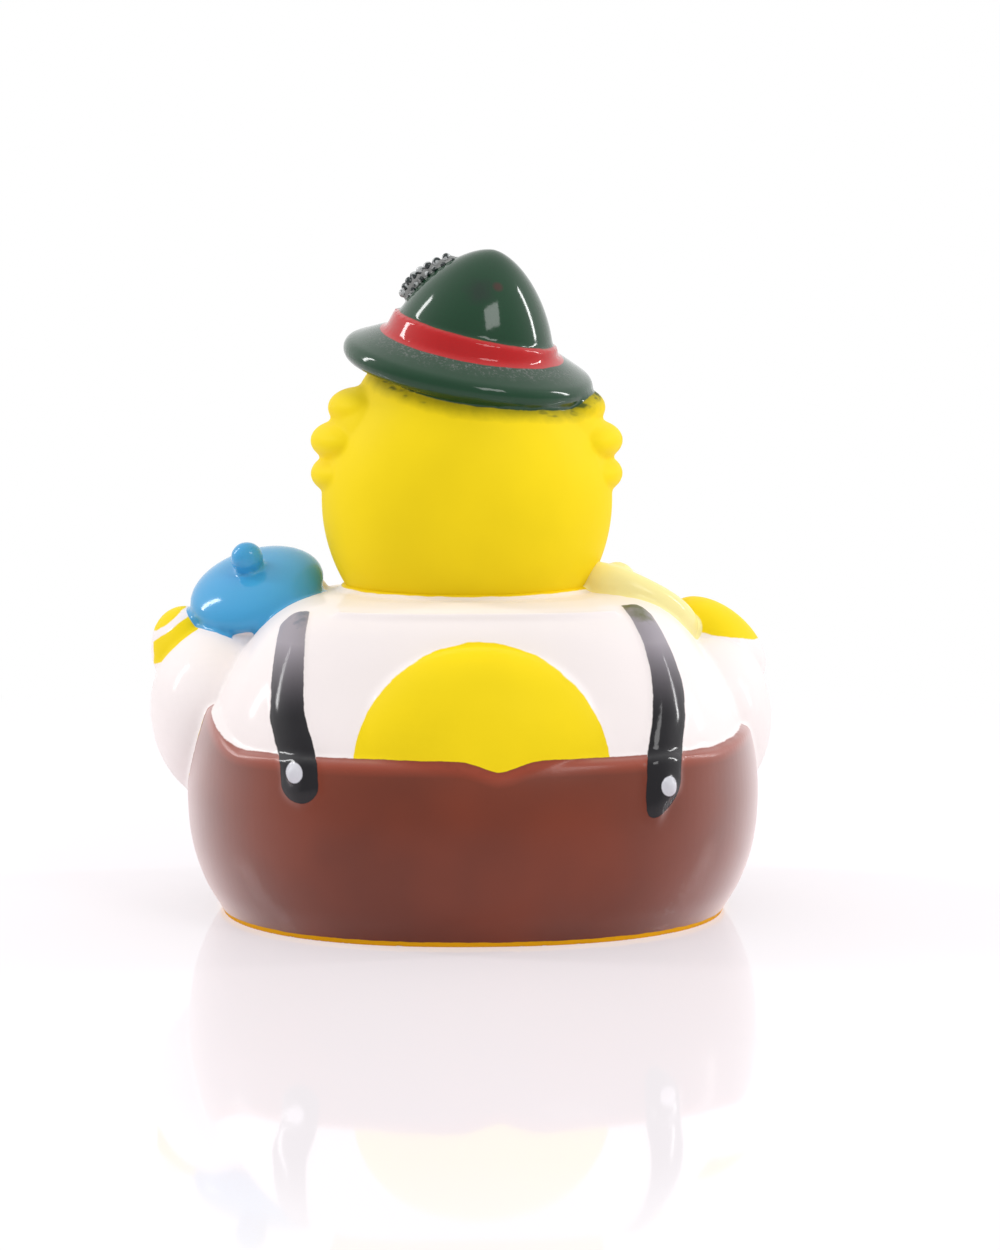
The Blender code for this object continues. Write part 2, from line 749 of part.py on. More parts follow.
def turned_solid(form, outline, segments=PLUG_SEGMENTS):
    """Spins an outline that starts and ends on the Z axis."""
    verts = [form.verts.new((radius, 0.0, height)) for radius, height in outline]
    edges = [form.edges.new(pair) for pair in zip(verts, verts[1:])]
    bmesh.ops.spin(
        form, geom=verts + edges, cent=(0, 0, 0), axis=(0, 0, 1), angle=2 * math.pi, steps=segments,
        use_merge=True,
    )
    bmesh.ops.remove_doubles(form, verts=form.verts, dist=1e-6)


def duck_body(vinyl):
    body = to_object("duck_body", skin_form(), vinyl)
    mould(body, SKIN_VOXEL, SKIN_SOFTENING, SKIN_FACETS)
    cavity = as_cutter(to_object("cavity_cutter", cavity_form()))
    mould(cavity, CAVITY_VOXEL, 2, CAVITY_FACETS)
    cut(body, table_cutter())
    cut(body, cavity)
    cut(body, hole_cutter())
    return body


def whistle_plug(plastic):
    """A thimble with a flange in the recess, a neck in the hole and a lip above the base wall."""
    form = bmesh.new()
    neck = HOLE_RADIUS - SEAT_GAP
    flange = RECESS_RADIUS - SEAT_GAP
    flange_top = RECESS_DEPTH - SEAT_GAP
    lip_bottom = BASE_WALL + SEAT_GAP
    lip = neck + PLUG_LIP
    bore = neck - PLUG_WALL
    tube_radius = neck - 0.0004
    ledge = bore - 0.0008
    outline = [
        (SOUND_HOLE_RADIUS, PLUG_RECESS),
        (flange, PLUG_RECESS),
        (flange, flange_top),
        (neck, flange_top),
        (neck, lip_bottom),
        (lip, lip_bottom),
        (tube_radius, lip_bottom + PLUG_LIP_HEIGHT),
        (tube_radius, PLUG_HEIGHT),
        (bore, PLUG_HEIGHT),
        (bore, REED_HEIGHT),
        (ledge, REED_HEIGHT),
        (ledge, PLUG_RECESS + PLUG_WALL),
        (SOUND_HOLE_RADIUS, PLUG_RECESS + PLUG_WALL),
    ]
    spun(form, outline, Matrix.Identity(4), segments=PLUG_SEGMENTS)
    return to_object("whistle_plug", form, plastic)


def whistle_reed(steel):
    """A disc on the plug's ledge, with a slit on three sides of its tongue."""
    form = bmesh.new()
    radius = HOLE_RADIUS - SEAT_GAP - PLUG_WALL - SEAT_GAP
    bottom = REED_HEIGHT + SEAT_GAP
    cylinder(form, (0.0, 0.0, bottom), radius, REED_THICKNESS, segments=PLUG_SEGMENTS)
    reed = to_object("whistle_reed", form, steel)
    slit = bmesh.new()
    end = radius * 0.62
    inner = TONGUE_WIDTH / 2
    outer = inner + TONGUE_SLIT
    outline = [
        (-outer, -end), (-inner, -end), (-inner, end), (inner, end),
        (inner, -end), (outer, -end), (outer, end + TONGUE_SLIT), (-outer, end + TONGUE_SLIT),
    ]
    rings = []
    for height in (bottom - REED_THICKNESS, bottom + 2 * REED_THICKNESS):
        rings.append([Vector((x, y, height)) for x, y in outline])
    rings_to_solid(slit, rings)
    cut(reed, as_cutter(to_object("slit_cutter", slit)))
    return reed


def main():
    clear_scene()
    duck_body(material("yellow_vinyl", VINYL_YELLOW, 0.55))
    whistle_plug(material("white_plastic", PLUG_WHITE, 0.45))
    whistle_reed(material("reed_steel", REED_STEEL, 0.35, 1.0))


main()
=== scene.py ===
import math

import bpy
import numpy as np
from mathutils import Matrix, Vector

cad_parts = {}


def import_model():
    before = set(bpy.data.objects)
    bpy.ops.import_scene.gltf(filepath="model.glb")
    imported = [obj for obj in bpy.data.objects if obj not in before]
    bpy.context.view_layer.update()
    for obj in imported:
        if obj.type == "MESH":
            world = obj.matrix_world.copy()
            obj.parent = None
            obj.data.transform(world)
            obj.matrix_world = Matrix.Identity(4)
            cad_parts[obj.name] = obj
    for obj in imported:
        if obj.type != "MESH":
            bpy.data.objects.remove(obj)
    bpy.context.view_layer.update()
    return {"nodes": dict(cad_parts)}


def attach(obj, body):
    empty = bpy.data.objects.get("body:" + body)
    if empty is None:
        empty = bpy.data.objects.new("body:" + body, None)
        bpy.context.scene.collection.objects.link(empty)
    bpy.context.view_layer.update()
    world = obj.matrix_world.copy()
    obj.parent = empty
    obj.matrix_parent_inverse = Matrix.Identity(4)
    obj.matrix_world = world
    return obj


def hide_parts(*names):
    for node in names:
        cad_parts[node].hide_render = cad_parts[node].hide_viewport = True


# A painted vinyl bath duck, seen from behind on a white table. Metres, +Z up, the bill towards +Y.

# Body
SHOULDER_HEIGHT = 0.0400
BELLY_HEIGHT = 0.0150
BELLY_HALF_WIDTH = 0.0348
BELLY_BACK = 0.0342
BELLY_FRONT = 0.0348
BELLY_MORE_RIGHT = 0.0009
BELLY_MORE_LEFT = -0.0002
BASE_SQUARENESS = 2.25
SHOULDER_SQUARENESS = 3.2
# Shares of the shoulder height between which the body grows squarer
SQUARING = (0.4, 1.0)
# Each row is a level: its share of the shoulder height, then the shares of the belly's half width,
# of its reach to the back and of its reach to the front
BODY_LEVELS = (
    (-0.05, 0.860, 0.905, 0.850),
    (0.00, 0.872, 0.914, 0.862),
    (0.10, 0.938, 0.958, 0.920),
    (0.22, 0.984, 0.990, 0.972),
    (0.36, 1.000, 1.000, 1.000),
    (0.48, 0.992, 0.978, 1.000),
    (0.58, 0.968, 0.930, 0.984),
    (0.68, 0.924, 0.858, 0.936),
    (0.78, 0.858, 0.774, 0.862),
    (0.88, 0.770, 0.684, 0.770),
    (0.95, 0.680, 0.604, 0.670),
    (0.985, 0.580, 0.524, 0.570),
    (1.00, 0.440, 0.420, 0.440),
)
TROUSER_STEP = 0.0010
WAIST_HEIGHT = 0.0226
WAIST_NOTCH = 0.0013
WAIST_NOTCH_TURN = math.radians(4.5)
WAIST_NOTCH_HALF_WIDTH = math.radians(5)
WAIST_RISE_LEFT = 0.0042
WAIST_RISE_RIGHT = 0.0012
WAIST_ROUND = 0.0008
# Turns from the back between which the waist climbs at each side, and evens out at the front
WAIST_CLIMB = (math.radians(52), math.radians(78))
WAIST_EVENS_OUT = (math.radians(115), math.radians(170))

# Head, hair and bill
HEAD_CENTRE = Vector((0.0, 0.0040, 0.0515))
HEAD_RADII = (0.0185, 0.0185, 0.0200)
HEAD_TOP_RISE = 0.0096
HEAD_TOP_RADII = (0.0148, 0.0148, 0.0122)
NECK_INSET = 0.0012
COLLAR_RADIUS = 0.0153
COLLAR_THICKNESS = 0.0024
COLLAR_DROP = 0.0004
YOKE_HEIGHT = 0.0388
YOKE_SEAM = 0.0010
HAIR_LOBE_RADII = (0.0041, 0.0070, 0.0027)
HAIR_PITCH = 0.0042
HAIR_REACH = 0.0157
HAIR_RISE = 0.0074
HAIR_TOP_LOBE_IN = 0.0022
HAIR_LOBE_BACK = 0.0005
HAIR_LOBE_TURN = -8
HAIR_MASS_RADII = (0.0044, 0.0080, 0.0076)
HAIR_MASS_TURN = -16
HAIR_MASS_PLACE = Vector((HAIR_REACH - 0.0027, -0.0020, HAIR_RISE - 0.0004))
BILL_RADII = (0.0085, 0.0108, 0.0030)
BILL_DROP = 0.0020
BILL_ROOT = 0.0030
BILL_PLACE = HEAD_CENTRE + Vector((0.0, HEAD_RADII[1] - BILL_ROOT, -BILL_DROP))
UPPER_BILL_LEAN = 9
LOWER_BILL_LEAN = -3
LOWER_BILL_PLACE = BILL_PLACE - Vector((0.0, 0.0, BILL_RADII[2]))
LOWER_BILL_RADII = (BILL_RADII[0] * 0.84, BILL_RADII[1] * 0.84, BILL_RADII[2] * 0.80)
EYE_PLACE = Vector((0.0066, 0.0160, 0.0066))
EYE_RADII = (0.0030, 0.0060, 0.0042)
GLANCE = Vector((-0.0006, 0.0, -0.0006))
PUPIL_RADII = (0.0015, 0.0070, 0.0024)

# Hat
HAT_SEAT = HEAD_CENTRE + Vector((0.0006, 0.0, 0.0191))
HAT_TILT = (13.0, 6.0)
CROWN_RADIUS = 0.0106
CROWN_HEIGHT = 0.0129
CROWN_SHOULDER = 1.5
CROWN_TIP = 0.60
HAT_FOOT_DEPTH = 0.0060
HAT_FOOT_FLARE = 1.12
RIBBON_HEIGHT = 0.0026
RIBBON_STEP = 0.0006
RIBBON_FOOT = 0.0004
BRIM_TILT = (10.0, 9.0)
BRIM_RADIUS = 0.0161
BRIM_DROOP = 0.0024
BRIM_THICKNESS = 0.0030
FEATHER_TURN = 12.0
FEATHER_STAND_OFF = 0.0011
FEATHER_THICKNESS = 0.0012
FEATHER_FOOT = RIBBON_HEIGHT + 0.0020
FEATHER_TOP = CROWN_HEIGHT * 0.80
FEATHER_BARB = (0.0030, 0.0005)
FEATHER_BEAD = 0.0012
FEATHER_BEADS = 8
BEAD_OUT = 0.0004
SMALL_BEAD_IN = 0.0005
SMALL_BEAD_BACK = 0.0009

# Tail and wings
TAIL_CENTRE = (0.0006, 0.0118 - BELLY_BACK, WAIST_HEIGHT - 0.0046)
TAIL_RADII = (0.0194, 0.0114, 0.0176)
TAIL_LEAN = 8.0
TAIL_PAINT = (0.0156, 0.0150)
TAIL_PAINT_HEIGHT = 0.0210
SLEEVE_RADII = (0.0092, 0.0158, 0.0118)
SLEEVE_RIGHT = Vector((0.0297, 0.0070, 0.0226))
SLEEVE_LEFT = Vector((-0.0311, 0.0070, 0.0240))
SLEEVE_SPLAY = 8.0
SLEEVE_TURN = 6.0
HAND_RADII = (0.0050, 0.0082, 0.0064)
HAND_RIGHT_RADII = (0.0044, 0.0082, 0.0074)
HAND_RIGHT = SLEEVE_RIGHT + Vector((0.0028, 0.0030, 0.0098))
HAND_LEFT = SLEEVE_LEFT + Vector((-0.0042, 0.0030, 0.0070))
HAND_RIGHT_LEAN = -50.0
HAND_LEFT_LEAN = -20.0
CUFF_RADIUS = HAND_RADII[0] * 1.02
CUFF_THICKNESS = 0.0016
CUFF_LEAN = -38.0
CUFF_FOLD = 0.0009
CUFF_FOLD_SIDE = -0.0354
CUFF_FOLD_HEIGHT = 0.0371

# Braces
STRAP_WIDTH = 0.0043
STRAP_STEP = 0.0009
# Distance of each strap from the duck's middle: on the shoulders, on the back and at the end
LEFT_STRAP_REACH = (0.0219, 0.0229, 0.0213)
RIGHT_STRAP_REACH = (0.0203, 0.0238, 0.0228)
# Shares of the way down between which a strap's distance goes over to the next
STRAP_TO_BACK = (0.42, 0.84)
STRAP_TO_END = (0.88, 1.0)
STRAP_TOP_SHARE = 0.82
STRAP_DEPTH = 0.0020
STRAP_TAPER = 0.06
STRAP_TOP_ANGLE = 64.0
LEFT_STRAP_END_ANGLE = 4.0
RIGHT_STRAP_END_ANGLE = 1.6
RIGHT_STRAP_SLANT = 0.05
BUTTON_RADIUS = 0.0010
BUTTON_STRETCH = 1.2
BUTTON_STEP = 0.0004
BUTTON_OUTWARD = 0.0006
BUTTON_ANGLE = 11.0
RIGHT_BUTTON_ANGLE = 7.6

# Lidded mug and pretzel
MUG_RIM = Vector((-0.0268, 0.0070, 0.0396))
MUG_LEAN = (-16.0, 24.0)
MUG_RADIUS = 0.0070
MUG_LENGTH = 0.0160
LID_RADIUS = 0.0088
LID_HEIGHT = 0.0033
LID_RIM = 0.0010
KNOB_RADIUS = 0.0021
KNOB_HEIGHT = LID_HEIGHT + KNOB_RADIUS * 0.75
MUG_HANDLE_THICKNESS = 0.0024
MUG_HANDLE_REACH = 0.0052
MUG_HANDLE_TURN = math.radians(70)
# Shares of the mug's length: half the handle's height, and how far its middle lies under the rim
MUG_HANDLE_SPAN = 0.26
MUG_HANDLE_DROP = 0.42
MUG_FOOT_RADIUS = MUG_RADIUS * 1.12
MUG_NARROWEST = MUG_LENGTH * 0.45
MUG_INTO_LID = 0.0005
LID_ROUNDNESS = 0.8
FILLET_DROP = 0.0026
FILLET_DEPTH = 0.0024
PRETZEL_CENTRE = Vector((0.0209, 0.0036, 0.0381))
PRETZEL_HALF_WIDTH = 0.0064
PRETZEL_DEPTH = 0.0110
PRETZEL_ROPE = 0.0048
PRETZEL_DRAPE = 0.0002
PRETZEL_LEAN = (26.0, -18.0)
PRETZEL_HALF_TURN = math.radians(228)
PRETZEL_BULGE = 0.12
PRETZEL_LOBE_POWER = 0.75
# The rope's ends: where they start, how far they draw in and back, and how high each one lies
PRETZEL_ENDS_FROM = 0.62
PRETZEL_ENDS_IN = 0.35
PRETZEL_ENDS_BACK = PRETZEL_DEPTH * 0.62
PRETZEL_ENDS_UP = (PRETZEL_ROPE * 0.42 * 0.15, PRETZEL_ROPE * 0.42 * 0.55)

# Base
BASE_WALL = 0.0028
HOLE_RADIUS = 0.0060
RECESS_RADIUS = 0.0082
RECESS_DEPTH = 0.0012
HOLE_DEPTH = BASE_WALL * 3.2
BELOW_BASE = 0.0020
# Rings that carry the flat base in from its edge
BASE_RINGS = (0.024, 0.016)

# A distance that is far outside every paint
FAR_OFF = 1.0

# Where the paints end: how far each runs past its own form, and the lines that stop it
SLEEVE_OVERLAP = 0.0004
SLEEVE_CLEARANCE = 0.0006
HAND_RIGHT_OVERLAP = 0.0008
HAND_LEFT_OVERLAP = 0.0006
LID_OVERLAP = 0.0006
PRETZEL_OVERLAP = 0.0005
STRAP_OVERLAP = 0.0001
HANDLE_OVERLAP = 0.0006
NECK_OVERLAP = 0.0005
HAT_OVERLAP = 0.0003
BILL_OVERLAP = 0.0004
LID_PAINT_DEPTH = LID_RIM + 0.0002
LID_PAINT_TOP = 0.012
MUG_PAINT_RADIUS = MUG_RADIUS * 1.15
# Lower line of each hand's yellow: a place across, the line's height there and its slope. The right
# hand's line also bends down, from a place across and by so much
HAND_RIGHT_LINE = (0.028, 0.0346, -0.16)
HAND_RIGHT_CURVE = (0.034, 12.0)
HAND_LEFT_LINE = (-0.040, 0.0300, 0.75)
HAND_LEFT_END = -0.0401
STRAP_OFF_BODY_FRONT = 0.0070
STRAP_OFF_BODY_BACK = 0.0030
STRAP_FRONT_TOP = 0.0380
STRAP_CLEAR_OF_HELD = 0.0005
STRAP_SLANT_LENGTH = 15.0
BROWN_ABOVE_WAIST = 0.0002
BROWN_FOOT = 0.0006
BASE_BAND = 0.0012
WAIST_RIM_DROP = 0.0004
WAIST_RIM_HALF_WIDTH = 0.0008
RIBBON_MIDDLE = RIBBON_HEIGHT * 0.46
RIBBON_HALF_WIDTH = RIBBON_HEIGHT * 0.60
RIBBON_REACH = 0.0013
FEATHER_REACH = 0.0022
FEATHER_OFF_CROWN = 0.0001
SMUDGE_PLACE = (-0.0009, -0.0070, 0.0084)
SMUDGE_RADIUS = 0.0016
RED_SPOT_PLACE = (0.0012, -0.0060, 0.0092)
RED_SPOT_RADIUS = 0.0006
DUST_HEIGHT = 0.0006

# Fineness of the skins
BODY_VOXEL = 0.00036
HEAD_VOXEL = 0.00030
MOST_TRIANGLES = 190000

# Paints, as linear colour
YELLOW = (0.93, 0.70, 0.012, 1)
DEEP_YELLOW = (0.86, 0.43, 0.008, 1)
BROWN = (0.190, 0.027, 0.005, 1)
WHITE = (0.925, 0.855, 0.845, 1)
BLACK = (0.008, 0.007, 0.010, 1)
# Pale grey laid over the braces' upper black: a painted sheen of light, not a paint of its own
PAINTED_SHEEN_GREY = (0.36, 0.33, 0.365, 1)
BUTTON_WHITE = (0.66, 0.66, 0.71, 1)
GREEN = (0.004, 0.048, 0.017, 1)
FLECK_PALE = (0.90, 0.84, 0.60, 1)
TEAL = (0.045, 0.115, 0.165, 1)
OLIVE = (0.105, 0.120, 0.006, 1)
SMUDGE_GREY = (0.035, 0.042, 0.040, 1)
SPECK_RED = (0.07, 0.018, 0.018, 1)
DUST_GREY = (0.20, 0.21, 0.20, 1)
RED = (0.52, 0.005, 0.007, 1)
# Lighter, redder brown for the waist ridge: partly its own colour, partly a painted highlight
LIT_RIM_BROWN = (0.30, 0.045, 0.016, 1)
BLUE = (0.055, 0.36, 0.68, 1)
CREAM = (0.93, 0.83, 0.36, 1)
GREY = (0.42, 0.43, 0.42, 1)
ORANGE = (0.84, 0.22, 0.015, 1)
SATIN_SHEEN = (1.0, 0.86, 0.86, 1)
BEAD_DARK = (0.02, 0.03, 0.03, 1)
BEAD_PALE = (0.50, 0.52, 0.52, 1)
PLUG_DARK = (0.66, 0.66, 0.62, 1)
PLUG_PALE = (0.74, 0.74, 0.71, 1)
REED_DARK = (0.52, 0.52, 0.53, 1)
REED_PALE = (0.66, 0.66, 0.67, 1)
TABLE_WHITE = (0.95, 0.90, 0.93, 1)
# Pink painted into the table's glow near the duck: a painted reflection of the duck
TABLE_REFLECTION_PINK = (1, 0.955, 0.985, 1)
PURE_WHITE = (1, 1, 1, 1)

# Each row is a paint, from the first coat to the last: its edge, its colour, the share of it that the
# colour drifts to, its gloss from 0 to 1, and how far its edge wavers
BODY_PAINTS = (
    ("brown_edge", BROWN, 0.80, 0.0, 0.7),
    ("white_edge", WHITE, 0.97, 0.3, 1.1),
    ("cream_edge", CREAM, 0.95, 0.5, 0.3),
    ("strap_edge", BLACK, 0.80, 0.9, 0.9),
    ("blue_edge", BLUE, 0.92, 1.0, 0.4),
    ("button_edge", BUTTON_WHITE, 0.95, 0.6, 0.4),
)
HEAD_PAINTS = (
    ("green_edge", GREEN, 0.85, 1.0, 0.8),
    ("ribbon_edge", RED, 0.90, 1.0, 0.5),
    ("feather_edge", GREY, 0.60, 0.2, 0.8),
    ("bill_edge", ORANGE, 0.95, 0.6, 0.4),
    ("eye_edge", WHITE, 1.0, 0.8, 0.2),
    ("pupil_edge", BLACK, 1.0, 1.0, 0.2),
)
# Heights at which the black turns to a pale grey painted sheen towards the shoulders, where light falls on
# it, and its upper end is smeared, and over how much height
SHEEN_FROM = 0.0265
SHEEN_OVER = 0.0090
SMEAR_FROM = 0.0380
SMEAR_OVER = 1 / 600.0
GRAIN_DEPTH = 0.00004

# Paint edges are kept in millimetres
MM = 1000.0

# Light
TABLE_GLOW = 0.44
FRONT_GLOW = 0.66
BACK_GLOW = 1.0
GLOW_FALL = (-0.50, 0.85)
GLOW_UPWARD = 0.8
TABLE_SIZE = 8.0
TABLE_FADE_FROM = 0.15
TABLE_FADE_OVER = 0.08
LIGHTS_AIM = (0.0, 0.0, 0.04)
# Each row is a softbox: its name, its place, its width and height, and its watts
SOFTBOXES = (
    ("left_softbox", (-0.50, 0.17, 0.36), (0.06, 0.34), 1.15),
    ("right_softbox", (0.54, 0.13, 0.30), (0.04, 0.30), 0.9),
    ("front_panel", (0.27, -0.42, 0.47), (0.22, 0.20), 0.8),
)

# Camera
LENS_MM = 137.0
SENSOR_MM = 36.0
CAMERA_AIM = Vector((0.00405, 0.0, 0.0357))
CAMERA_DISTANCE = 0.600
CAMERA_TURN = math.radians(-2.3)
CAMERA_RISE = math.radians(6.1)


# Modelling

def smooth_step(low, high, value):
    share = np.clip((value - low) / (high - low), 0.0, 1.0)
    return share * share * (3.0 - 2.0 * share)


def mix(low, high, share):
    return low + (high - low) * share


def unselect():
    bpy.ops.object.select_all(action="DESELECT")


def settled(name):
    """Names the newest form and puts its place into its mesh."""
    form = bpy.context.object
    form.name = name
    bpy.ops.object.transform_apply(location=True, rotation=True, scale=True)
    return form


def leaning(right, back, about_z=0.0):
    """Rotation that leans a form's top to the right and to the back, in degrees."""
    lean = Matrix.Rotation(math.radians(right), 4, "Y") @ Matrix.Rotation(math.radians(back), 4, "X")
    return Matrix.Rotation(math.radians(about_z), 4, "Z") @ lean


def egg(name, centre, radii, lean=Matrix.Identity(4), steps=64):
    unselect()
    bpy.ops.mesh.primitive_uv_sphere_add(
        segments=steps, ring_count=steps // 2, location=centre, rotation=lean.to_euler(), scale=radii
    )
    return settled(name)


def drawn_up(name, outline, place=Matrix.Identity(4), steps=96):
    """A round form: a disc extruded up through (radius, height) rings, then put in its place."""
    unselect()
    radius, height = outline[0]
    bpy.ops.mesh.primitive_circle_add(
        vertices=steps, radius=radius, fill_type="NGON", location=(0.0, 0.0, height)
    )
    form = settled(name)
    bpy.ops.object.mode_set(mode="EDIT")
    bpy.ops.mesh.select_all(action="SELECT")
    for next_radius, next_height in outline[1:]:
        bpy.ops.mesh.extrude_region_move(
            TRANSFORM_OT_translate={"value": (0.0, 0.0, next_height - height)}
        )
        wider = next_radius / radius
        bpy.ops.transform.resize(value=(wider, wider, 1.0), center_override=(0.0, 0.0, next_height))
        radius, height = next_radius, next_height
    bpy.ops.mesh.select_all(action="SELECT")
    bpy.ops.mesh.normals_make_consistent(inside=False)
    bpy.ops.object.mode_set(mode="OBJECT")
    form.matrix_world = place
    return settled(name)


def rope(name, points, thickness):
    """A round rope with domed ends along a list of points."""
    path = bpy.data.curves.new(name, "CURVE")
    path.dimensions = "3D"
    path.bevel_depth = thickness / 2
    path.bevel_resolution = 6
    path.use_fill_caps = True
    run = path.splines.new("POLY")
    run.points.add(len(points) - 1)
    for knot, point in zip(run.points, points):
        knot.co = (*point, 1.0)
    form = bpy.data.objects.new(name, path)
    bpy.context.scene.collection.objects.link(form)
    unselect()
    form.select_set(True)
    bpy.context.view_layer.objects.active = form
    bpy.ops.object.convert(target="MESH")
    ends = [egg(name, point, (thickness / 2,) * 3, steps=24) for point in (points[0], points[-1])]
    return joined(name, [bpy.data.objects[form.name]] + ends)


def ring(name, centre, radius, thickness, lean=Matrix.Identity(4)):
    unselect()
    bpy.ops.mesh.primitive_torus_add(
        major_segments=96, minor_segments=20, major_radius=radius, minor_radius=thickness / 2,
        location=centre, rotation=lean.to_euler(),
    )
    return settled(name)


def joined(name, forms):
    unselect()
    for form in forms:
        form.select_set(True)
    bpy.context.view_layer.objects.active = forms[0]
    bpy.ops.object.join()
    return settled(name)


def copied(form):
    """A second form with a mesh of its own."""
    twin = form.copy()
    twin.data = form.data.copy()
    bpy.context.scene.collection.objects.link(twin)
    return twin


def modified(form, kind, **settings):
    """Adds a modifier, sets it and applies it."""
    unselect()
    form.select_set(True)
    bpy.context.view_layer.objects.active = form
    modifier = form.modifiers.new(kind, kind)
    for setting, value in settings.items():
        setattr(modifier, setting, value)
    bpy.ops.object.modifier_apply(modifier=modifier.name)


def moulded(name, forms, voxel, softening):
    """Melts forms that overlap into one skin with soft inner corners."""
    skin = joined(name, forms)
    modified(skin, "REMESH", mode="VOXEL", voxel_size=voxel)
    modified(skin, "SMOOTH", factor=0.5, iterations=softening)
    return skin


def thinned(skin):
    """Takes triangles out of a skin that has too many, and shades it smooth."""
    triangles = sum(len(face.vertices) - 2 for face in skin.data.polygons)
    if triangles > MOST_TRIANGLES:
        modified(skin, "DECIMATE", ratio=MOST_TRIANGLES / triangles)
    skin.data.shade_smooth()


# Shapes of the body

def body_level(height):
    """Half width and the reach to the back and the front at a height, from the rows of levels."""
    share = height / SHOULDER_HEIGHT
    rows = BODY_LEVELS
    i = 0
    while i < len(rows) - 2 and share > rows[i + 1][0]:
        i += 1
    before, low, high, after = rows[max(i - 1, 0)], rows[i], rows[i + 1], rows[min(i + 2, len(rows) - 1)]
    gap = high[0] - low[0]
    t = min(1.0, max(0.0, (share - low[0]) / gap))
    sizes = []
    for k, full in ((1, BELLY_HALF_WIDTH), (2, BELLY_BACK), (3, BELLY_FRONT)):
        low_slope = gap * (high[k] - before[k]) / (high[0] - before[0])
        high_slope = gap * (after[k] - low[k]) / (after[0] - low[0])
        value = (
            (2 * t**3 - 3 * t**2 + 1) * low[k] + (t**3 - 2 * t**2 + t) * low_slope
            + (3 * t**2 - 2 * t**3) * high[k] + (t**3 - t**2) * high_slope
        )
        sizes.append(value * full)
    return sizes


def body_point(angle, height, outset=0.0):
    """A point of the body's skin: angle 0 is the back, a quarter turn the right side."""
    half_width, back, front = body_level(height)
    side, along = math.sin(angle), math.cos(angle)
    reach = back if along > 0 else front
    upper = float(smooth_step(*SQUARING, height / SHOULDER_HEIGHT))
    power = 2.0 / mix(BASE_SQUARENESS, SHOULDER_SQUARENESS, upper)
    half_width += BELLY_MORE_RIGHT if side > 0 else BELLY_MORE_LEFT
    x = math.copysign(abs(side) ** power, side) * (half_width + outset)
    y = -math.copysign(abs(along) ** power, along) * (reach + outset)
    return Vector((x, y, height))


def turn_of(x, y):
    """Angle round the body: 0 at the back, a quarter turn at the right side."""
    return np.arctan2(x, -y)


def waist_height(turn):
    """Height of the trousers' edge: a small notch at the tail, and a rise under each wing."""
    in_front = smooth_step(*WAIST_EVENS_OUT, np.abs(turn))
    rise = np.where(turn > 0, WAIST_RISE_RIGHT, WAIST_RISE_LEFT)
    rise = mix(rise, (WAIST_RISE_RIGHT + WAIST_RISE_LEFT) / 2, in_front)
    climb = smooth_step(*WAIST_CLIMB, np.abs(turn))
    notch = WAIST_NOTCH * np.exp(-(((turn - WAIST_NOTCH_TURN) / WAIST_NOTCH_HALF_WIDTH) ** 2))
    return WAIST_HEIGHT + rise * climb - notch


def shirt():
    """A barrel whose rings are then pushed out to the body's levels."""
    levels = [mix(-BELOW_BASE, SHOULDER_HEIGHT, math.sin(math.pi / 2 * i / 64)) for i in range(65)]
    form = drawn_up("shirt", [(1.0, height) for height in levels], steps=160)
    for vertex in form.data.vertices:
        x, y, height = vertex.co
        vertex.co = body_point(turn_of(x, y), height)
    return form


def trousers(levels=36, turns=8):
    """A barrel up to the waist, with a rounded edge that dives under the shirt."""
    form = drawn_up("trousers", [(1.0, float(i)) for i in range(levels + turns + 1)], steps=160)
    for vertex in form.data.vertices:
        turn = turn_of(vertex.co.x, vertex.co.y)
        step = round(vertex.co.z)
        waist = float(waist_height(turn))
        height = mix(-BELOW_BASE, waist - WAIST_ROUND, min(step, levels) / levels)
        bend = math.pi / 2 * max(0, step - levels) / turns
        height += WAIST_ROUND * math.sin(bend)
        vertex.co = body_point(turn, height, TROUSER_STEP - WAIST_ROUND * (1 - math.cos(bend)))
    return form


def strap_reach(angle, side):
    """How far a strap lies from the middle of the duck, at an angle round its shoulders."""
    flat = np.abs(np.cos(angle))
    pairs = zip(LEFT_STRAP_REACH, RIGHT_STRAP_REACH)
    top, back, end = (np.where(side < 0, left, right) for left, right in pairs)
    reach = mix(top, back, smooth_step(*STRAP_TO_BACK, flat))
    return mix(reach, end, smooth_step(*STRAP_TO_END, flat))


def strap_end(side):
    """Angle at which a strap ends under the waist."""
    return math.radians(LEFT_STRAP_END_ANGLE if side < 0 else RIGHT_STRAP_END_ANGLE)


def button_angle(side, behind):
    """The right button at the back sits a little lower."""
    return RIGHT_BUTTON_ANGLE if side > 0 and behind else BUTTON_ANGLE


def on_body(skin, x, angle):
    """The outermost point of the dressed body on a ray at an angle from its middle, and the ray."""
    ray = Vector((0.0, math.cos(angle), math.sin(angle)))
    far = Vector((x, 0.0, BELLY_HEIGHT)) + ray * 0.2
    return skin.ray_cast(far, -ray)[1], ray


def strap_half_width(angle):
    """Half the strap's width, which narrows towards the shoulder."""
    return STRAP_WIDTH / 2 * mix(1.0, STRAP_TOP_SHARE, smooth_step(0.05, 0.95, np.sin(angle)))


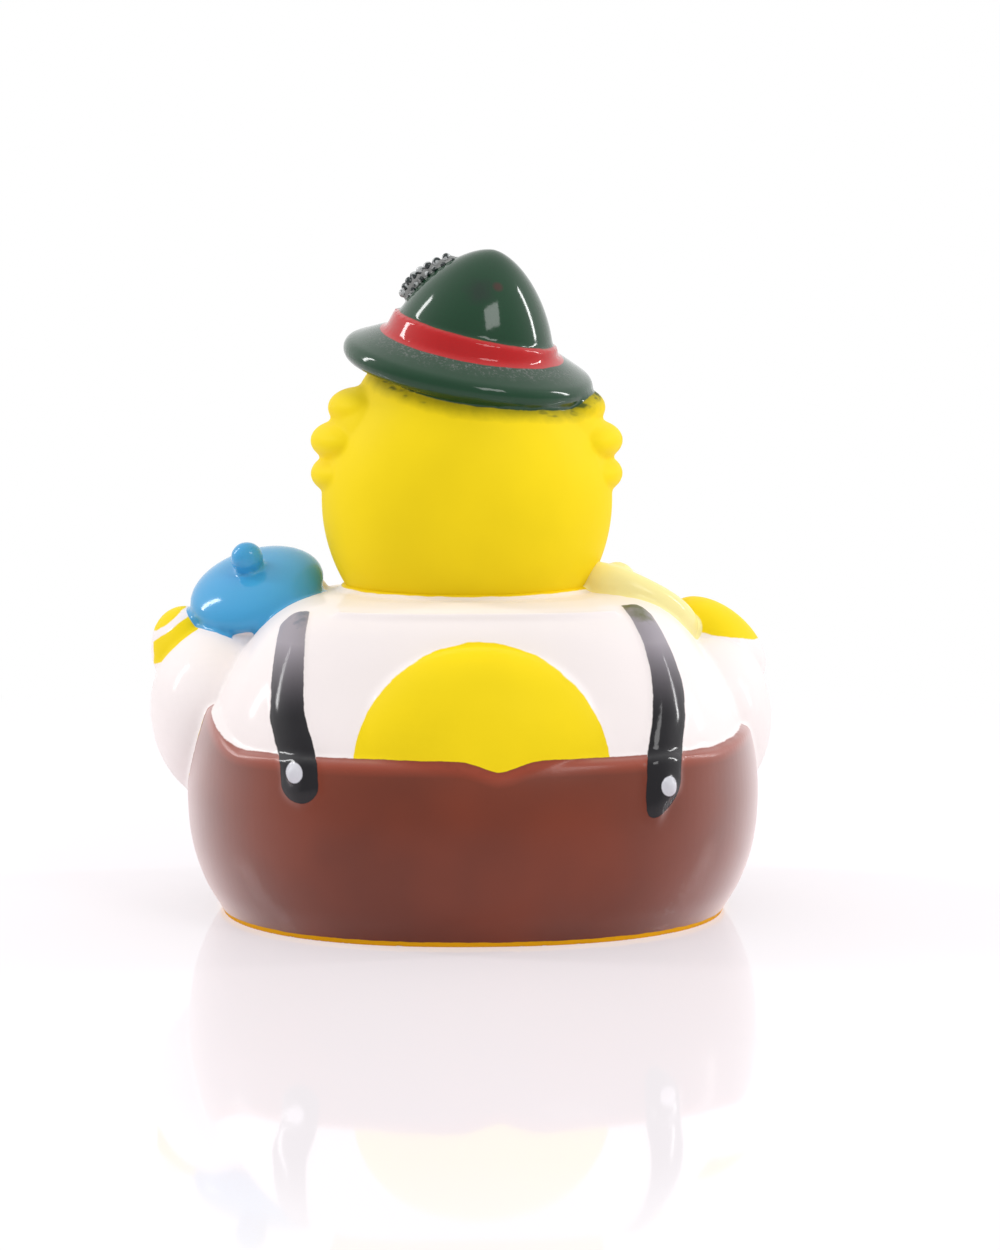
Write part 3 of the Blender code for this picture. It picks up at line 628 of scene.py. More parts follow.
def strap(skin, side, behind, steps=90, across=8):
    """A flat grid laid on the clothes up to the shoulder, then given its thickness."""
    unselect()
    bpy.ops.mesh.primitive_grid_add(x_subdivisions=across, y_subdivisions=steps, size=2.0)
    form = settled("strap")
    for vertex in form.data.vertices:
        along = (vertex.co.y + 1) / 2
        slant = RIGHT_STRAP_SLANT * vertex.co.x if side > 0 else 0.0
        angle = mix(strap_end(side) + slant, math.radians(STRAP_TOP_ANGLE), along)
        near_end = min(along, 1 - along) / STRAP_TAPER
        half = float(strap_half_width(angle)) * math.sqrt(min(1.0, 0.1 + 0.9 * near_end))
        x = side * float(strap_reach(angle, side)) + half * vertex.co.x
        hit, ray = on_body(skin, x, math.pi - angle if behind else angle)
        vertex.co = hit + ray * STRAP_STEP * (1.0 - 0.7 * vertex.co.x**2) * min(1.0, 0.3 + near_end)
    modified(form, "SOLIDIFY", thickness=STRAP_DEPTH, offset=-1.0)
    return form


def button(skin, side, angle):
    hit, ray = on_body(skin, side * (float(strap_reach(angle, side)) + BUTTON_OUTWARD), angle)
    lean = ray.to_track_quat("Z", "Y").to_matrix().to_4x4()
    radii = (BUTTON_RADIUS, BUTTON_RADIUS * BUTTON_STRETCH, BUTTON_STEP * 2)
    return egg("button", hit + ray * STRAP_STEP, radii, lean, 32)


def hand_lean(side):
    return leaning(HAND_LEFT_LEAN if side < 0 else HAND_RIGHT_LEAN, 0)


def sleeve_lean(side):
    return leaning(side * SLEEVE_SPLAY, 0, side * SLEEVE_TURN)


def mug_place():
    return Matrix.Translation(MUG_RIM) @ leaning(*MUG_LEAN)


def handle_points():
    """A half ring on the mug's side."""
    place = mug_place()
    out = Vector((math.cos(MUG_HANDLE_TURN), math.sin(MUG_HANDLE_TURN), 0.0))
    points = []
    for i in range(25):
        bend = math.pi * i / 24
        reach = MUG_RADIUS - MUG_HANDLE_THICKNESS / 3 + MUG_HANDLE_REACH * math.sin(bend)
        height = MUG_LENGTH * (MUG_HANDLE_SPAN * math.cos(bend) - MUG_HANDLE_DROP)
        points.append(place @ (out * reach + Vector((0.0, 0.0, height))))
    return points


def mug():
    """A mug with its lid, knob and handle, and a fillet under the lid."""
    place = mug_place()
    outline = [(MUG_FOOT_RADIUS, -MUG_LENGTH), (MUG_RADIUS, -MUG_NARROWEST), (MUG_RADIUS, MUG_INTO_LID)]
    cup = drawn_up("mug", outline, place)
    outline = [(LID_RADIUS - LID_RIM / 2, -LID_RIM), (LID_RADIUS, -LID_RIM / 3), (LID_RADIUS, LID_RIM / 4)]
    for i in range(1, 16):
        bend = math.pi / 2 * i / 16
        outline.append((LID_RADIUS * math.cos(bend) ** LID_ROUNDNESS, LID_HEIGHT * math.sin(bend)))
    lid = drawn_up("lid", outline, place)
    knob = egg("knob", place @ Vector((0.0, 0.0, KNOB_HEIGHT)), (KNOB_RADIUS,) * 3, steps=48)
    radii = (LID_RADIUS, LID_RADIUS, FILLET_DEPTH)
    fillet = egg("fillet", place @ Vector((0.0, 0.0, -FILLET_DROP)), radii, leaning(*MUG_LEAN))
    return [cup, lid, knob, fillet, rope("handle", handle_points(), MUG_HANDLE_THICKNESS)]


def pretzel_points(count=96):
    """The rope of a pretzel: two lobes, a crossing, and ends laid back on the rim."""
    place = Matrix.Translation(PRETZEL_CENTRE) @ leaning(*PRETZEL_LEAN)
    points = []
    for i in range(count + 1):
        angle = mix(-PRETZEL_HALF_TURN, PRETZEL_HALF_TURN, i / count)
        inward = float(smooth_step(PRETZEL_ENDS_FROM, 1.0, abs(angle) / PRETZEL_HALF_TURN))
        wide = math.sin(angle) * (1.0 + PRETZEL_BULGE * math.sin(abs(angle)))
        wide = math.copysign(abs(wide) ** PRETZEL_LOBE_POWER, wide)
        x = PRETZEL_HALF_WIDTH * wide * (1.0 - PRETZEL_ENDS_IN * inward)
        y = -PRETZEL_DEPTH / 2 * math.cos(angle) - PRETZEL_ENDS_BACK * inward
        lift = PRETZEL_ENDS_UP[angle > 0] * inward
        lift -= PRETZEL_DRAPE * (x / PRETZEL_HALF_WIDTH) ** 2
        points.append(place @ Vector((x, y, lift)))
    return points


def body_skin():
    """The dressed body with its wings, braces, mug and pretzel, open at the base."""
    dressed = [shirt(), trousers()]
    fitting = joined("fitting", [copied(form) for form in dressed])
    forms = list(dressed)
    for side in (-1, 1):
        for behind in (True, False):
            angle = math.radians(button_angle(side, behind))
            forms.append(strap(fitting, side, behind))
            forms.append(button(fitting, side, math.pi - angle if behind else angle))
    bpy.data.objects.remove(fitting)
    neckline = (0.0, HEAD_CENTRE.y, SHOULDER_HEIGHT - COLLAR_DROP)
    forms.append(ring("collar", neckline, COLLAR_RADIUS, COLLAR_THICKNESS))
    seam = [body_point(turn / 20, YOKE_HEIGHT) for turn in range(-14, 15)]
    forms.append(rope("yoke_seam", seam, YOKE_SEAM))
    forms.append(egg("tail", TAIL_CENTRE, TAIL_RADII, leaning(0, TAIL_LEAN)))
    forms.append(egg("left_sleeve", SLEEVE_LEFT, SLEEVE_RADII, sleeve_lean(-1)))
    forms.append(egg("left_hand", HAND_LEFT, HAND_RADII, hand_lean(-1)))
    forms.append(egg("right_sleeve", SLEEVE_RIGHT, SLEEVE_RADII, sleeve_lean(1)))
    forms.append(egg("right_hand", HAND_RIGHT, HAND_RIGHT_RADII, hand_lean(1)))
    forms.append(ring("cuff", HAND_LEFT, CUFF_RADIUS, CUFF_THICKNESS, leaning(CUFF_LEAN, 0)))
    forms += mug()
    forms.append(rope("pretzel", pretzel_points(), PRETZEL_ROPE))
    forms.append(egg("neck", HEAD_CENTRE, [radius - NECK_INSET for radius in HEAD_RADII]))
    skin = moulded("duck_body_skin", forms, BODY_VOXEL, softening=5)
    thinned(skin)
    cut_flat(skin)
    open_base(skin)
    return skin


def opened(skin):
    """Opens one form for editing."""
    unselect()
    skin.select_set(True)
    bpy.context.view_layer.objects.active = skin
    bpy.ops.object.mode_set(mode="EDIT")


def cut_flat(skin):
    """Cuts off what stands below the table."""
    opened(skin)
    bpy.ops.mesh.select_all(action="SELECT")
    bpy.ops.mesh.bisect(plane_co=(0, 0, 0), plane_no=(0, 0, 1), clear_inner=True)
    bpy.ops.object.mode_set(mode="OBJECT")


def open_base(skin):
    """Draws the open bottom edge in to the recess and up through the hole, and closes it at the top."""
    opened(skin)
    bpy.ops.mesh.select_mode(type="EDGE")
    bpy.ops.mesh.select_all(action="DESELECT")
    bpy.ops.mesh.select_non_manifold(extend=False, use_wire=False, use_multi_face=False, use_verts=False)
    rings = [(radius, 0.0) for radius in (*BASE_RINGS, RECESS_RADIUS)]
    rings += [(RECESS_RADIUS, RECESS_DEPTH), (HOLE_RADIUS, RECESS_DEPTH)]
    rings += [(HOLE_RADIUS, HOLE_DEPTH), (HOLE_RADIUS * 0.4, HOLE_DEPTH)]
    for radius, height in rings:
        bpy.ops.mesh.extrude_region_move(TRANSFORM_OT_translate={"value": (0.0, 0.0, 0.0)})
        bpy.ops.object.mode_set(mode="OBJECT")
        for vertex in skin.data.vertices:
            if vertex.select:
                spot = Vector((vertex.co.x, vertex.co.y)).normalized() * radius
                vertex.co = (spot.x, spot.y, height)
        bpy.ops.object.mode_set(mode="EDIT")
    bpy.ops.mesh.edge_face_add()
    bpy.ops.mesh.select_all(action="SELECT")
    bpy.ops.mesh.normals_make_consistent(inside=False)
    bpy.ops.object.mode_set(mode="OBJECT")
    skin.data.shade_smooth()
    unselect()


# Shapes of the head

def hat_place(tilt):
    """Where the hat sits. The crown and the brim have their own tilts."""
    return Matrix.Translation(HAT_SEAT) @ leaning(*tilt)


def crown_radius(height):
    """Radius of the crown, which rounds in to its top."""
    share = np.clip(height / CROWN_HEIGHT, 0.0, 1.0)
    return CROWN_RADIUS * (1.0 - share**CROWN_SHOULDER) ** CROWN_TIP


def hat():
    place = hat_place(HAT_TILT)
    outline = [(CROWN_RADIUS * HAT_FOOT_FLARE, -HAT_FOOT_DEPTH)]
    for i in range(40):
        height = CROWN_HEIGHT * math.sin(math.pi / 2 * i / 40)
        outline.append((float(crown_radius(height)), height))
    crown = drawn_up("crown", outline, place)
    low, high = CROWN_RADIUS + RIBBON_STEP, float(crown_radius(RIBBON_HEIGHT)) + RIBBON_STEP
    ribbon = drawn_up("ribbon", [(low, -RIBBON_FOOT), (low, RIBBON_FOOT), (high, RIBBON_HEIGHT)], place)
    half = BRIM_THICKNESS / 2
    edge = BRIM_RADIUS - half
    slope = math.atan(BRIM_DROOP / (edge - CROWN_RADIUS))
    inside = CROWN_RADIUS * 0.5
    outline = [(inside, -3 * half)]
    for i in range(17):
        turn = -math.pi / 2 - slope + math.pi * i / 16
        outline.append((edge + half * math.cos(turn), -BRIM_DROOP + half * math.sin(turn)))
    outline += [(CROWN_RADIUS, half * 0.8), (inside, half * 0.8)]
    brim = drawn_up("brim", outline, hat_place(BRIM_TILT), steps=128)
    return [crown, ribbon, brim]


def feather_beads():
    """The outer edge of the feather: a point for each bead, with the point of its root."""
    place = hat_place(HAT_TILT)
    direction = math.radians(180 - FEATHER_TURN)
    out = Vector((math.cos(direction), math.sin(direction), 0.0))
    beads = []
    for i in range(FEATHER_BEADS):
        share = i / (FEATHER_BEADS - 1)
        height = mix(FEATHER_FOOT, FEATHER_TOP, share)
        stand_off = FEATHER_STAND_OFF * math.sin(math.pi * mix(0.18, 0.88, share))
        reach = float(crown_radius(height)) + stand_off
        edge = place @ (out * reach + Vector((0.0, 0.0, height)))
        root = place @ (out * (reach - FEATHER_BARB[0]) + Vector((0.0, 0.0, height - FEATHER_BARB[1])))
        beads.append((root, edge))
    return beads


def head_skin():
    """The head with its hair tufts, bill, hat and feather."""
    forms = [egg("head", HEAD_CENTRE, HEAD_RADII, steps=128)]
    forms.append(egg("head_top", HEAD_CENTRE + Vector((0.0, 0.0, HEAD_TOP_RISE)), HEAD_TOP_RADII, steps=128))
    for side in (-1, 1):
        for i in range(3):
            in_middle = 1.0 - abs(i - 1)
            reach = HAIR_REACH - (HAIR_TOP_LOBE_IN if i == 0 else 0.0)
            height = HEAD_CENTRE.z + HAIR_RISE + HAIR_PITCH * (1 - i)
            radii = (HAIR_LOBE_RADII[0], HAIR_LOBE_RADII[1] + 0.0005 * in_middle, HAIR_LOBE_RADII[2])
            lobe = (side * reach, HEAD_CENTRE.y - HAIR_LOBE_BACK, height)
            forms.append(egg("hair", lobe, radii, leaning(0, 0, side * HAIR_LOBE_TURN), 48))
        mass = HEAD_CENTRE + HAIR_MASS_PLACE * Vector((side, 1.0, 1.0))
        forms.append(egg("hair_mass", mass, HAIR_MASS_RADII, leaning(0, 0, side * HAIR_MASS_TURN)))
    forms.append(egg("upper_bill", BILL_PLACE, BILL_RADII, leaning(0, UPPER_BILL_LEAN)))
    forms.append(egg("lower_bill", LOWER_BILL_PLACE, LOWER_BILL_RADII, leaning(0, LOWER_BILL_LEAN)))
    forms += hat()
    for inner, outer in feather_beads():
        forms.append(rope("barb", [inner, outer], FEATHER_THICKNESS))
    skin = moulded("duck_head_skin", forms, HEAD_VOXEL, softening=4)
    thinned(skin)
    return skin


def beads():
    """Small glossy beads along the feather's outer edge."""
    forms = []
    for inner, outer in feather_beads():
        away = (outer - inner).normalized()
        forms.append(egg("bead", outer + away * BEAD_OUT, (FEATHER_BEAD / 2,) * 3, steps=24))
        inward = outer - away * SMALL_BEAD_IN - Vector((0.0, SMALL_BEAD_BACK, 0.0))
        forms.append(egg("small_bead", inward, (FEATHER_BEAD * 0.3,) * 3, steps=20))
    string = joined("feather_beads", forms)
    string.data.shade_smooth()
    return string


# Edges of the paints, as distances in millimetres that are negative inside the paint

def points_of(skin):
    """The skin's vertices, one row each."""
    flat = np.empty(len(skin.data.vertices) * 3)
    skin.data.vertices.foreach_get("co", flat)
    return flat.reshape(-1, 3)


def keep_edge(skin, name, distance):
    """Keeps a paint's edge on the skin, where the material reads it."""
    layer = skin.data.attributes.new(name, "FLOAT", "POINT")
    layer.data.foreach_set("value", (distance * MM).astype(np.float32))


def local_points(points, place):
    """Points as they lie in a place's own axes."""
    inverse = np.array(place.inverted())
    return points @ inverse[:3, :3].T + inverse[:3, 3]


def from_egg(points, centre, radii, lean=Matrix.Identity(4)):
    """About how far points lie outside an egg."""
    local = local_points(points, Matrix.Translation(Vector(centre)) @ lean)
    near = np.linalg.norm(local / radii, axis=1)
    steep = np.linalg.norm(local / np.square(radii), axis=1)
    return near * (near - 1.0) / np.maximum(steep, 1e-9)


def from_path(points, path):
    """How far points lie from the nearest straight stretch of a path."""
    nearest = np.full(len(points), FAR_OFF)
    for a, b in zip(path, path[1:]):
        a, run = np.array(a), np.array(b) - np.array(a)
        share = np.clip((points - a) @ run / (run @ run), 0.0, 1.0)
        nearest = np.minimum(nearest, np.linalg.norm(points - a - share[:, None] * run, axis=1))
    return nearest


def off_body(points):
    """How far points lie outside the bare body, level by level."""
    x, y, z = points.T
    share = np.minimum(z / SHOULDER_HEIGHT, 0.96)
    shares, widths, backs, fronts = np.array(BODY_LEVELS).T
    width = np.interp(share, shares, widths) * BELLY_HALF_WIDTH
    width = width + np.where(x > 0, BELLY_MORE_RIGHT, BELLY_MORE_LEFT)
    back = np.interp(share, shares, backs) * BELLY_BACK
    front = np.interp(share, shares, fronts) * BELLY_FRONT
    reach = np.where(y < 0, back, front)
    power = mix(BASE_SQUARENESS, SHOULDER_SQUARENESS, smooth_step(*SQUARING, share))
    norm = (np.abs(x / width) ** power + np.abs(y / reach) ** power) ** (1.0 / power)
    return (norm - 1.0) * np.hypot(x, y) / np.maximum(norm, 0.2)


def tail_edge(points):
    """The bare tail: an oval patch at the back."""
    x, y, z = points.T
    across = (x - TAIL_CENTRE[0]) / TAIL_PAINT[0]
    up = (z - TAIL_PAINT_HEIGHT) / TAIL_PAINT[1]
    return np.maximum((np.hypot(across, up) - 1.0) * TAIL_PAINT[1], y)


def hand_edges(points):
    """The bare hands, each above its sleeve's line, with the left cuff's fold left white."""
    x, z = points[:, 0], points[:, 2]
    right = from_egg(points, HAND_RIGHT, HAND_RIGHT_RADII, hand_lean(1)) - HAND_RIGHT_OVERLAP
    place, height, slope = HAND_RIGHT_LINE
    bend_from, bend = HAND_RIGHT_CURVE
    line = height + slope * (x - place) - bend * np.maximum(0.0, x - bend_from) ** 2
    right = np.maximum(right, line - z)
    left = from_egg(points, HAND_LEFT, HAND_RADII, hand_lean(-1)) - HAND_LEFT_OVERLAP
    place, height, slope = HAND_LEFT_LINE
    from_fold = np.abs(z - CUFF_FOLD_HEIGHT - slope * (x - CUFF_FOLD_SIDE)) * 0.8
    line = height + slope * (x - place)
    left = np.maximum.reduce([left, line - z, CUFF_FOLD / 2 - from_fold, HAND_LEFT_END - x])
    return right, left


def mug_edges(points):
    """The blue lid, and the white side of the mug."""
    local = local_points(points, mug_place())
    across = np.hypot(local[:, 0], local[:, 1])
    height = local[:, 2]
    lid = np.maximum(across - LID_RADIUS - LID_OVERLAP, -LID_PAINT_DEPTH - height)
    lid = np.maximum(lid, height - LID_PAINT_TOP)
    side = np.maximum(across - MUG_PAINT_RADIUS, np.abs(height + MUG_LENGTH / 2) - MUG_LENGTH / 2)
    return lid, side


def strap_edge(points, held_things):
    """The braces, stopped by whatever the duck holds and by what stands off its body."""
    x, y, z = points.T
    angle = np.arctan2(z - BELLY_HEIGHT, np.abs(y))
    beside = np.abs(x) - strap_reach(angle, x)
    end_angle = np.where(x < 0, strap_end(-1), strap_end(1))
    end_height = BELLY_HEIGHT + np.tan(end_angle) * BELLY_BACK + STRAP_WIDTH * 0.5
    slant = np.where(x > 0, RIGHT_STRAP_SLANT * STRAP_SLANT_LENGTH * beside, 0.0)
    past_end = np.maximum(0.0, end_height - z + slant)
    over_top = (angle - math.radians(STRAP_TOP_ANGLE)) * SHOULDER_HEIGHT * 0.6
    past_top = np.maximum(0.0, over_top + STRAP_WIDTH * 0.3)
    edge = np.hypot(beside, past_end + past_top) - strap_half_width(angle) - STRAP_OVERLAP
    stand_off = np.where(y > 0, STRAP_OFF_BODY_FRONT, STRAP_OFF_BODY_BACK)
    above_front = np.where(y > 0, z - STRAP_FRONT_TOP, -FAR_OFF)
    near_held = STRAP_CLEAR_OF_HELD - held_things
    return np.maximum.reduce([edge, off_body(points) - stand_off, above_front, near_held])


def button_edge(points):
    x, y, z = points.T
    edge = np.full(len(points), FAR_OFF)
    for side in (-1, 1):
        for behind in (True, False):
            tilt = math.radians(button_angle(side, behind))
            spot_z = BELLY_HEIGHT + math.tan(tilt) * BELLY_BACK * 0.9
            spot_x = side * (float(strap_reach(tilt, side)) + BUTTON_OUTWARD)
            spot = np.hypot(x - spot_x, (z - spot_z) / BUTTON_STRETCH) - BUTTON_RADIUS
            edge = np.minimum(edge, np.maximum(spot, y if behind else -y))
    return edge


def paint_body(skin):
    points = points_of(skin)
    x, y, z = points.T
    above_waist = z - waist_height(turn_of(x, y))
    sleeve_right = from_egg(points, SLEEVE_RIGHT, SLEEVE_RADII, sleeve_lean(1))
    sleeve_left = from_egg(points, SLEEVE_LEFT, SLEEVE_RADII, sleeve_lean(-1))
    sleeves = np.minimum(sleeve_right, sleeve_left) - SLEEVE_OVERLAP
    lid, mug_side = mug_edges(points)
    pretzel = from_path(points, pretzel_points(count=48)) - PRETZEL_ROPE / 2 - PRETZEL_OVERLAP
    grip = from_path(points, handle_points()) - MUG_HANDLE_THICKNESS / 2 - HANDLE_OVERLAP
    held_things = np.minimum.reduce([lid, mug_side, grip, pretzel, sleeves + SLEEVE_CLEARANCE])
    neck_line = from_egg(points, HEAD_CENTRE, HEAD_RADII) - NECK_OVERLAP
    white = np.minimum(-above_waist, sleeves)
    for bare in (tail_edge(points), *hand_edges(points), pretzel, neck_line):
        white = np.maximum(white, -bare)
    brown = np.maximum.reduce([above_waist - BROWN_ABOVE_WAIST, BROWN_FOOT - z, -sleeves])
    # The band along the waist ridge, which the material paints lighter and redder, partly as a painted
    # highlight
    rim = np.abs(above_waist + WAIST_RIM_DROP) - WAIST_RIM_HALF_WIDTH
    keep_edge(skin, "base_edge", z - BASE_BAND)
    keep_edge(skin, "waist_edge", rim)
    keep_edge(skin, "white_edge", white)
    keep_edge(skin, "brown_edge", brown)
    keep_edge(skin, "strap_edge", strap_edge(points, held_things))
    keep_edge(skin, "button_edge", button_edge(points))
    keep_edge(skin, "blue_edge", lid)
    keep_edge(skin, "cream_edge", pretzel)


def bill_edge(points):
    upper = from_egg(points, BILL_PLACE, BILL_RADII, leaning(0, UPPER_BILL_LEAN))
    lower_radii = [radius * 0.86 for radius in BILL_RADII]
    lower = from_egg(points, LOWER_BILL_PLACE, lower_radii, leaning(0, LOWER_BILL_LEAN))
    behind = HEAD_CENTRE.y + HEAD_RADII[1] * 0.8 - points[:, 1]
    return np.maximum(np.minimum(upper, lower) - BILL_OVERLAP, behind)


def eye_edges(points):
    eye = np.full(len(points), FAR_OFF)
    pupil = np.full(len(points), FAR_OFF)
    for side in (-1, 1):
        mirrored = Vector((side, 1.0, 1.0))
        spot = HEAD_CENTRE + EYE_PLACE * mirrored
        eye = np.minimum(eye, from_egg(points, spot, EYE_RADII))
        pupil = np.minimum(pupil, from_egg(points, spot + GLANCE * mirrored, PUPIL_RADII))
    return eye, pupil


def paint_head(skin):
    points = points_of(skin)
    brim_local = local_points(points, hat_place(BRIM_TILT))
    hat_local = local_points(points, hat_place(HAT_TILT))
    from_axis = np.hypot(brim_local[:, 0], brim_local[:, 1])
    flat = np.column_stack([from_axis, np.zeros(len(points)), brim_local[:, 2]])
    brim_end = (BRIM_RADIUS - BRIM_THICKNESS / 2, 0.0, -BRIM_DROOP)
    brim_line = [(0.0, 0.0, 0.0), (CROWN_RADIUS, 0.0, 0.0), brim_end]
    crown_out = np.hypot(hat_local[:, 0], hat_local[:, 1]) - crown_radius(hat_local[:, 2])
    crown = np.maximum(crown_out, -hat_local[:, 2])
    green = np.minimum(from_path(flat, brim_line) - BRIM_THICKNESS / 2, crown) - HAT_OVERLAP
    ribbon = np.abs(hat_local[:, 2] - RIBBON_MIDDLE) - RIBBON_HALF_WIDTH
    ribbon = np.maximum(ribbon, crown_out - RIBBON_REACH)
    feather = from_path(points, [edge for root, edge in feather_beads()]) - FEATHER_REACH
    feather = np.maximum(feather, FEATHER_OFF_CROWN - crown_out)
    smudge = np.linalg.norm(hat_local - SMUDGE_PLACE, axis=1) - SMUDGE_RADIUS
    red_spot = np.linalg.norm(hat_local - RED_SPOT_PLACE, axis=1) - RED_SPOT_RADIUS
    dust = np.where(hat_local[:, 2] > DUST_HEIGHT, FAR_OFF, flat[:, 0] - CROWN_RADIUS)
    eye, pupil = eye_edges(points)
    keep_edge(skin, "smudge_edge", smudge)
    keep_edge(skin, "red_spot_edge", red_spot)
    keep_edge(skin, "dust_edge", dust)
    keep_edge(skin, "green_edge", green)
    keep_edge(skin, "ribbon_edge", ribbon)
    keep_edge(skin, "feather_edge", feather)
    keep_edge(skin, "bill_edge", bill_edge(points))
    keep_edge(skin, "eye_edge", eye)
    keep_edge(skin, "pupil_edge", pupil)


# Materials

class Tone:
    """A value in a material. Arithmetic on it adds Math nodes."""

    def __init__(self, graph, socket):
        self.graph = graph
        self.socket = socket

    def math(self, operation, *others):
        return self.graph.node("ShaderNodeMath", {"operation": operation}, dict(enumerate((self, *others))))

    def __add__(self, other):
        return self.math("ADD", other)

    def __sub__(self, other):
        return self.math("SUBTRACT", other)

    def __mul__(self, other):
        return self.math("MULTIPLY", other)

    def __truediv__(self, other):
        return self.math("DIVIDE", other)

    def __rsub__(self, other):
        return (self * -1.0) + other

    __radd__ = __add__
    __rmul__ = __mul__

    def held(self):
        """The value held between 0 and 1."""
        return self.graph.node("ShaderNodeClamp", {}, {0: self})


class Graph:
    """A painted finish: a Principled shader and the nodes that feed it."""

    def __init__(self, name, **constants):
        self.material = bpy.data.materials.new(name)
        self.material.use_nodes = True
        self.tree = self.material.node_tree
        self.shader = self.tree.nodes["Principled BSDF"]
        for socket, value in constants.items():
            self.shader.inputs[socket.replace("_", " ")].default_value = value
        self.place = self.node("ShaderNodeTexCoord", {}, {}, "Object")

    def node(self, kind, settings, values, output=0):
        made = self.tree.nodes.new(kind)
        for setting, value in settings.items():
            setattr(made, setting, value)
        for key, value in values.items():
            if isinstance(value, Tone):
                self.tree.links.new(value.socket, made.inputs[key])
            else:
                made.inputs[key].default_value = value
        return Tone(self, made.outputs[output])

    def feed(self, socket, value):
        self.tree.links.new(value.socket, self.shader.inputs[socket])

    def height(self):
        """Height above the table in metres."""
        return self.node("ShaderNodeSeparateXYZ", {}, {0: self.place}, "Z")

    def across(self):
        """Distance to the duck's right side from its middle in metres."""
        return self.node("ShaderNodeSeparateXYZ", {}, {0: self.place}, "X")

    def noise(self, scale, detail=2.0, roughness=0.5, squash=(1.0, 1.0, 1.0)):
        """Soft noise from 0 to 1 at so many spots per metre."""
        spot = self.node("ShaderNodeMapping", {}, {0: self.place, 3: squash})
        return self.node("ShaderNodeTexNoise", {}, {
            "Vector": spot, "Scale": scale, "Detail": detail, "Roughness": roughness,
        })

    def edge(self, name):
        return self.node("ShaderNodeAttribute", {"attribute_name": name}, {}, "Fac")

    def inside(self, distance, softness=0.12):
        """1 inside a paint's edge and 0 outside it, over a soft width in millimetres."""
        return (0.5 - distance / softness).held()

    def over(self, below, above, mask):
        """One colour where the mask is 0, and another over it where the mask is 1."""
        return self.node("ShaderNodeMix", {"data_type": "RGBA"}, {0: mask, 6: below, 7: above}, 2)

    def level(self, below, above, mask):
        return self.node("ShaderNodeMix", {"data_type": "FLOAT"}, {0: mask, 2: below, 3: above})

    def bump(self, height, distance):
        relief = self.node("ShaderNodeBump", {}, {"Height": height, "Distance": distance, "Strength": 1.0})
        self.feed("Normal", relief)
        return relief

    def blend(self, finish, mask):
        """Lays another finish over the first one where the mask is 1."""
        both = self.node("ShaderNodeMixShader", {}, {0: mask, 2: finish}).socket
        self.tree.links.new(self.shader.outputs[0], both.node.inputs[1])
        self.tree.links.new(both, self.tree.nodes["Material Output"].inputs["Surface"])


def varied(graph, colour, darker, noise, low=0.35, high=0.65):
    """A colour that drifts a little towards a darker one."""
    share = ((noise - low) / (high - low)).held()
    return graph.over(darker, colour, share)


def flecked(graph, colour):
    """A few pale flecks of dust."""
    flecks = ((graph.noise(420.0, 1.0) - 0.83) * 30.0).held() * 0.5
    return graph.over(colour, FLECK_PALE, flecks)


def shade(colour, factor):
    return (colour[0] * factor, colour[1] * factor, colour[2] * factor, 1.0)


class Vinyl(Graph):
    """What both skins share: matte yellow vinyl, and brushed paints laid over it."""

    def __init__(self, name, coat_roughness):
        super().__init__(name, Specular_IOR_Level=0.05, Coat_Roughness=coat_roughness, Coat_IOR=1.40)
        self.broad = self.noise(60.0)
        self.fine = self.noise(700.0, 3.0)
        self.brush = self.noise(300.0, 3.0, 0.6)
        self.wobble = (self.brush - 0.5) * 0.5
        self.colour = flecked(self, varied(self, YELLOW, shade(YELLOW, 0.93), self.broad))
        self.feed("Roughness", self.level(0.46, 0.54, self.fine))

    def tinted(self, colour, mask):
        """Lays a colour over what is there so far."""
        self.colour = self.over(self.colour, colour, mask)

    def painted(self, paints, wear_and_sheen_name, wear_and_sheen):
        """Lays rows of paint on, one of them worn or given a painted sheen, and returns where each one lies.
        """
        coat = 0.0
        masks = {}
        for name, paint, dark, gloss, waver in paints:
            mask = self.inside(self.edge(name) + self.wobble * waver)
            tint = varied(self, paint, shade(paint, dark), self.broad)
            if name == wear_and_sheen_name:
                tint, gloss = wear_and_sheen(self, tint, gloss)
            self.tinted(tint, mask)
            coat = self.level(coat, gloss, mask)
            masks[name] = mask
        self.feed("Base Color", self.colour)
        self.feed("Coat Weight", coat)
        return masks

    def grained(self):
        """The fine grain of brush strokes, as a normal."""
        return self.bump(self.fine * 0.5 + self.brush * 0.5, GRAIN_DEPTH)


def smeared_black_with_painted_sheen(graph, tint, gloss):
    """Black that turns to a painted grey sheen towards the shoulders, where light falls on it, smeared there
    with teal at the left and olive at the right.
    """
    painted_sheen = ((graph.height() - SHEEN_FROM) / SHEEN_OVER).held()
    # Painted sheen: the black turns pale grey towards the top, where light falls on the shoulders
    tint = graph.over(tint, PAINTED_SHEEN_GREY, painted_sheen * painted_sheen)
    to_left = (graph.across() * -400.0).held()
    smeared = ((graph.height() - SMEAR_FROM) / SMEAR_OVER + (graph.brush - 0.5) * 3.0).held() * 0.75
    tint = graph.over(tint, graph.over(OLIVE, TEAL, to_left), smeared)
    return tint, graph.level(gloss, 0.08, painted_sheen)


def satin_brown(graph, relief):
    """Sprayed brown with a soft sheen, painted redder and lighter along its upper rim, partly as a painted
    highlight on the waist ridge.
    """
    drift = varied(graph, BROWN, shade(BROWN, 0.75), graph.broad)
    rim = graph.inside(graph.edge("waist_edge"), 1.2)
    return graph.node("ShaderNodeBsdfPrincipled", {}, {
        "Base Color": graph.over(drift, LIT_RIM_BROWN, rim), "Roughness": 0.45, "Specular IOR Level": 0.20,
        "Coat Weight": 1.0, "Coat Roughness": 0.22, "Coat IOR": 1.26,
        "Sheen Weight": 1.0, "Sheen Roughness": 0.44, "Sheen Tint": SATIN_SHEEN, "Normal": relief,
    })


